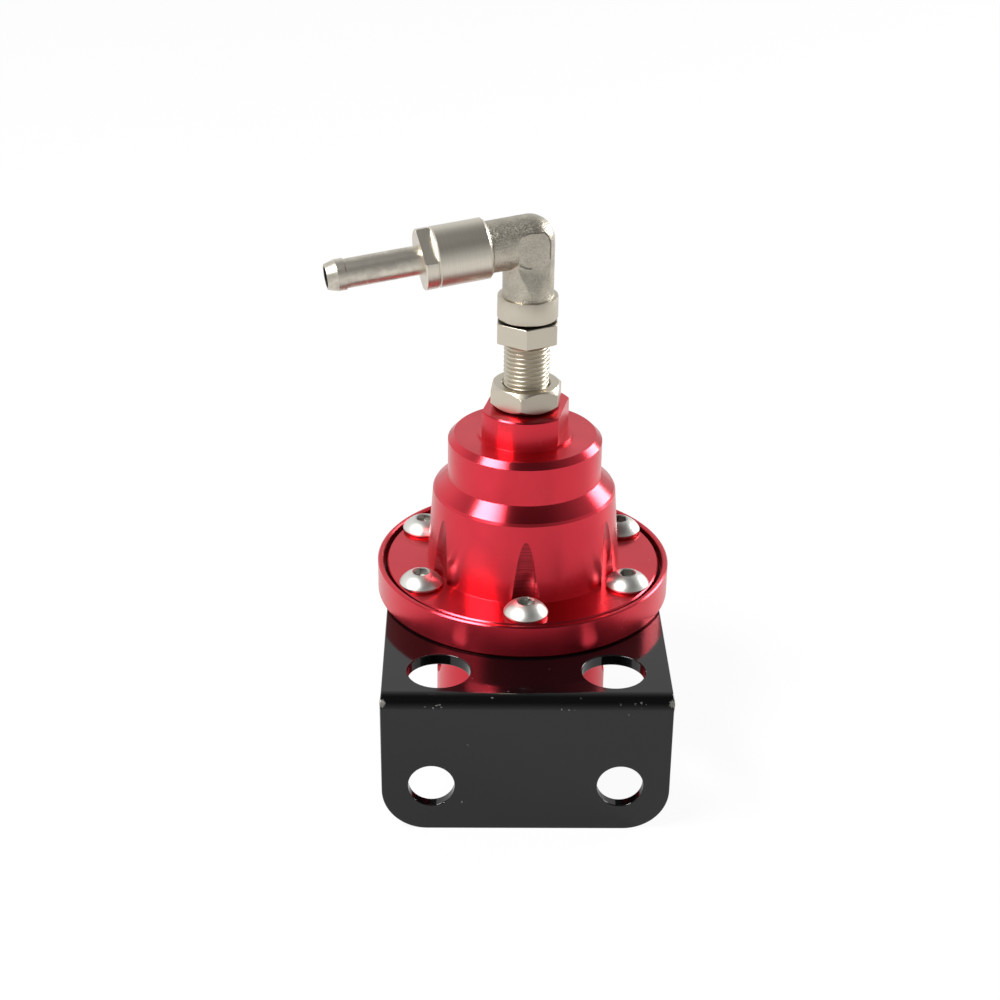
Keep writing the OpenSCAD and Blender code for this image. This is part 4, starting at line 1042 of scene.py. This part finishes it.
# Bracket: the plate that carries the regulator, steel punched, bent to an L and sprayed gloss
# black. The paint has orange peel and is chipped along the bend, which has a burr at each end.
PAINT = "#060607"
BARE_STEEL = "#a19e99"
PAINT_ROUGHNESS = 0.09
STEEL_ROUGHNESS = 0.4
PAINT_PEEL = 1.4 * MM
PEEL_RELIEF = 0.004 * MM
BRACKET_BREAK = 0.3 * MM
CHIP_JAG = 0.30 * MM
CHIP_PULL = 0.9 * MM
BURRS = ((-30.1, -48.16, 30.72), (30.1, -48.15, 30.73))
BURR_REACH = 1.5
BURR_RISE = 0.28
CHIPS = (
    (-29.9, -48.2, 30.7, 0.75), (29.9, -48.1, 30.7, 0.75), (-21.0, -48.5, 30.1, 0.14),
    (-19.3, -48.6, 29.9, 0.18), (-18.7, -48.4, 30.3, 0.16), (-18.0, -48.4, 30.4, 0.20),
    (-17.7, -48.6, 30.0, 0.14), (-7.2, -47.3, 31.5, 0.18), (-3.9, -45.5, 32.0, 0.14),
    (-1.3, -46.2, 31.9, 0.12), (-0.3, -46.2, 31.9, 0.14), (7.0, -48.7, 29.7, 0.14),
    (8.5, -48.7, 29.5, 0.16), (9.8, -48.7, 29.6, 0.14), (11.0, -47.3, 31.5, 0.16),
    (19.1, -48.3, 30.6, 0.12), (22.1, -48.2, 30.7, 0.16), (23.4, -48.0, 30.9, 0.20),
    (24.3, -48.2, 30.6, 0.16), (23.4, -48.6, 30.0, 0.14), (20.9, -48.8, 28.4, 0.16),
    (-12.2, -48.8, 20.9, 0.12), (-13.4, -48.8, 6.7, 0.14), (5.1, -48.8, 4.5, 0.12),
    (-11.4, -40.6, 32.0, 0.16), (25.0, -37.5, 32.0, 0.18), (5.0, -36.6, 32.0, 0.10))


def black_paint():
    """Sprayed gloss black: a deep mirror with slight orange peel, and small bright chips."""
    material, tree = new_material("gloss_black_paint")
    place = add_node(tree, "ShaderNodeTexCoord").outputs["Object"]
    peel = add_node(tree, "ShaderNodeTexNoise", {
        "Vector": place, "Scale": 1 / PAINT_PEEL, "Detail": 1.0})
    relief = add_node(tree, "ShaderNodeBump", {
        "Height": peel.outputs["Fac"], "Strength": 1.0, "Distance": PEEL_RELIEF})
    jagged = add_node(tree, "ShaderNodeTexNoise", {
        "Vector": place, "Scale": 1 / CHIP_JAG, "Detail": 1.0})
    pulled = add_node(tree, "ShaderNodeVectorMath", {
        0: jagged.outputs["Color"], 1: [CHIP_PULL] * 3, 2: place}, operation="MULTIPLY_ADD")
    moved_back = add_node(tree, "ShaderNodeVectorMath", {
        0: pulled.outputs[0], 1: [CHIP_PULL / 2] * 3}, operation="SUBTRACT").outputs[0]
    chipped = 0.0
    for x, y, z, reach in CHIPS:
        away = add_node(tree, "ShaderNodeVectorMath", {
            0: moved_back, 1: (x * MM, y * MM, z * MM)}, operation="DISTANCE")
        bare = add_node(tree, "ShaderNodeMapRange", {
            "Value": away.outputs["Value"],
            "From Min": reach * MM * 1.1, "From Max": reach * MM * 0.8})
        chipped = add_node(tree, "ShaderNodeMath", {
            0: bare.outputs[0], 1: chipped}, operation="MAXIMUM").outputs[0]
    colour = add_node(tree, "ShaderNodeMix", {
        "Factor": chipped, 6: to_linear(PAINT), 7: to_linear(BARE_STEEL)}, data_type="RGBA")
    gloss = add_node(tree, "ShaderNodeMapRange", {
        "Value": chipped, "To Min": PAINT_ROUGHNESS, "To Max": STEEL_ROUGHNESS})
    shader = add_node(tree, "ShaderNodeBsdfPrincipled", {
        "Base Color": colour.outputs[2], "Metallic": chipped, "Roughness": gloss.outputs[0],
        "Normal": relief.outputs[0]})
    add_node(tree, "ShaderNodeOutputMaterial", {"Surface": shader.outputs[0]})
    return material


sprayed = black_paint()
bracket = softened("bracket_bent", "bracket", BRACKET_BREAK, sprayed, steps=3)
for burr in BURRS:
    for vertex in bracket.data.vertices:
        share = 1 - (vertex.co / MM - Vector(burr)).length / BURR_REACH
        if share > 0:
            vertex.co.x += math.copysign(BURR_RISE * share * MM, burr[0])
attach(bracket, "housing")
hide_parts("bracket")

# Bracket screws: two smaller domed screws of the same steel, which hold the bracket to the flange
# from below.
BRACKET_SCREW = {"shank": 4, "length": 5.1, "head": 7.6, "height": 2.2, "foot": 0.3, "edge": 0.3,
                 "socket": 2.5, "depth": 1.3}
BRACKET_SCREW_CIRCLE = 24.9 * MM
BRACKET_SCREW_SEAT = 29.5 * MM

bracket_screws = domed_screw("bracket_screw_set", **BRACKET_SCREW, up=-1)
grown(bracket_screws, screw_circle, {
    "Count": 2, "Circle radius": BRACKET_SCREW_CIRCLE, "Seat height": BRACKET_SCREW_SEAT,
    "First angle": 0.0, "Seed": SCREW_SEED, "Material": stainless})
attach(bracket_screws, "housing")
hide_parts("bracket_screws")

low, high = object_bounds()
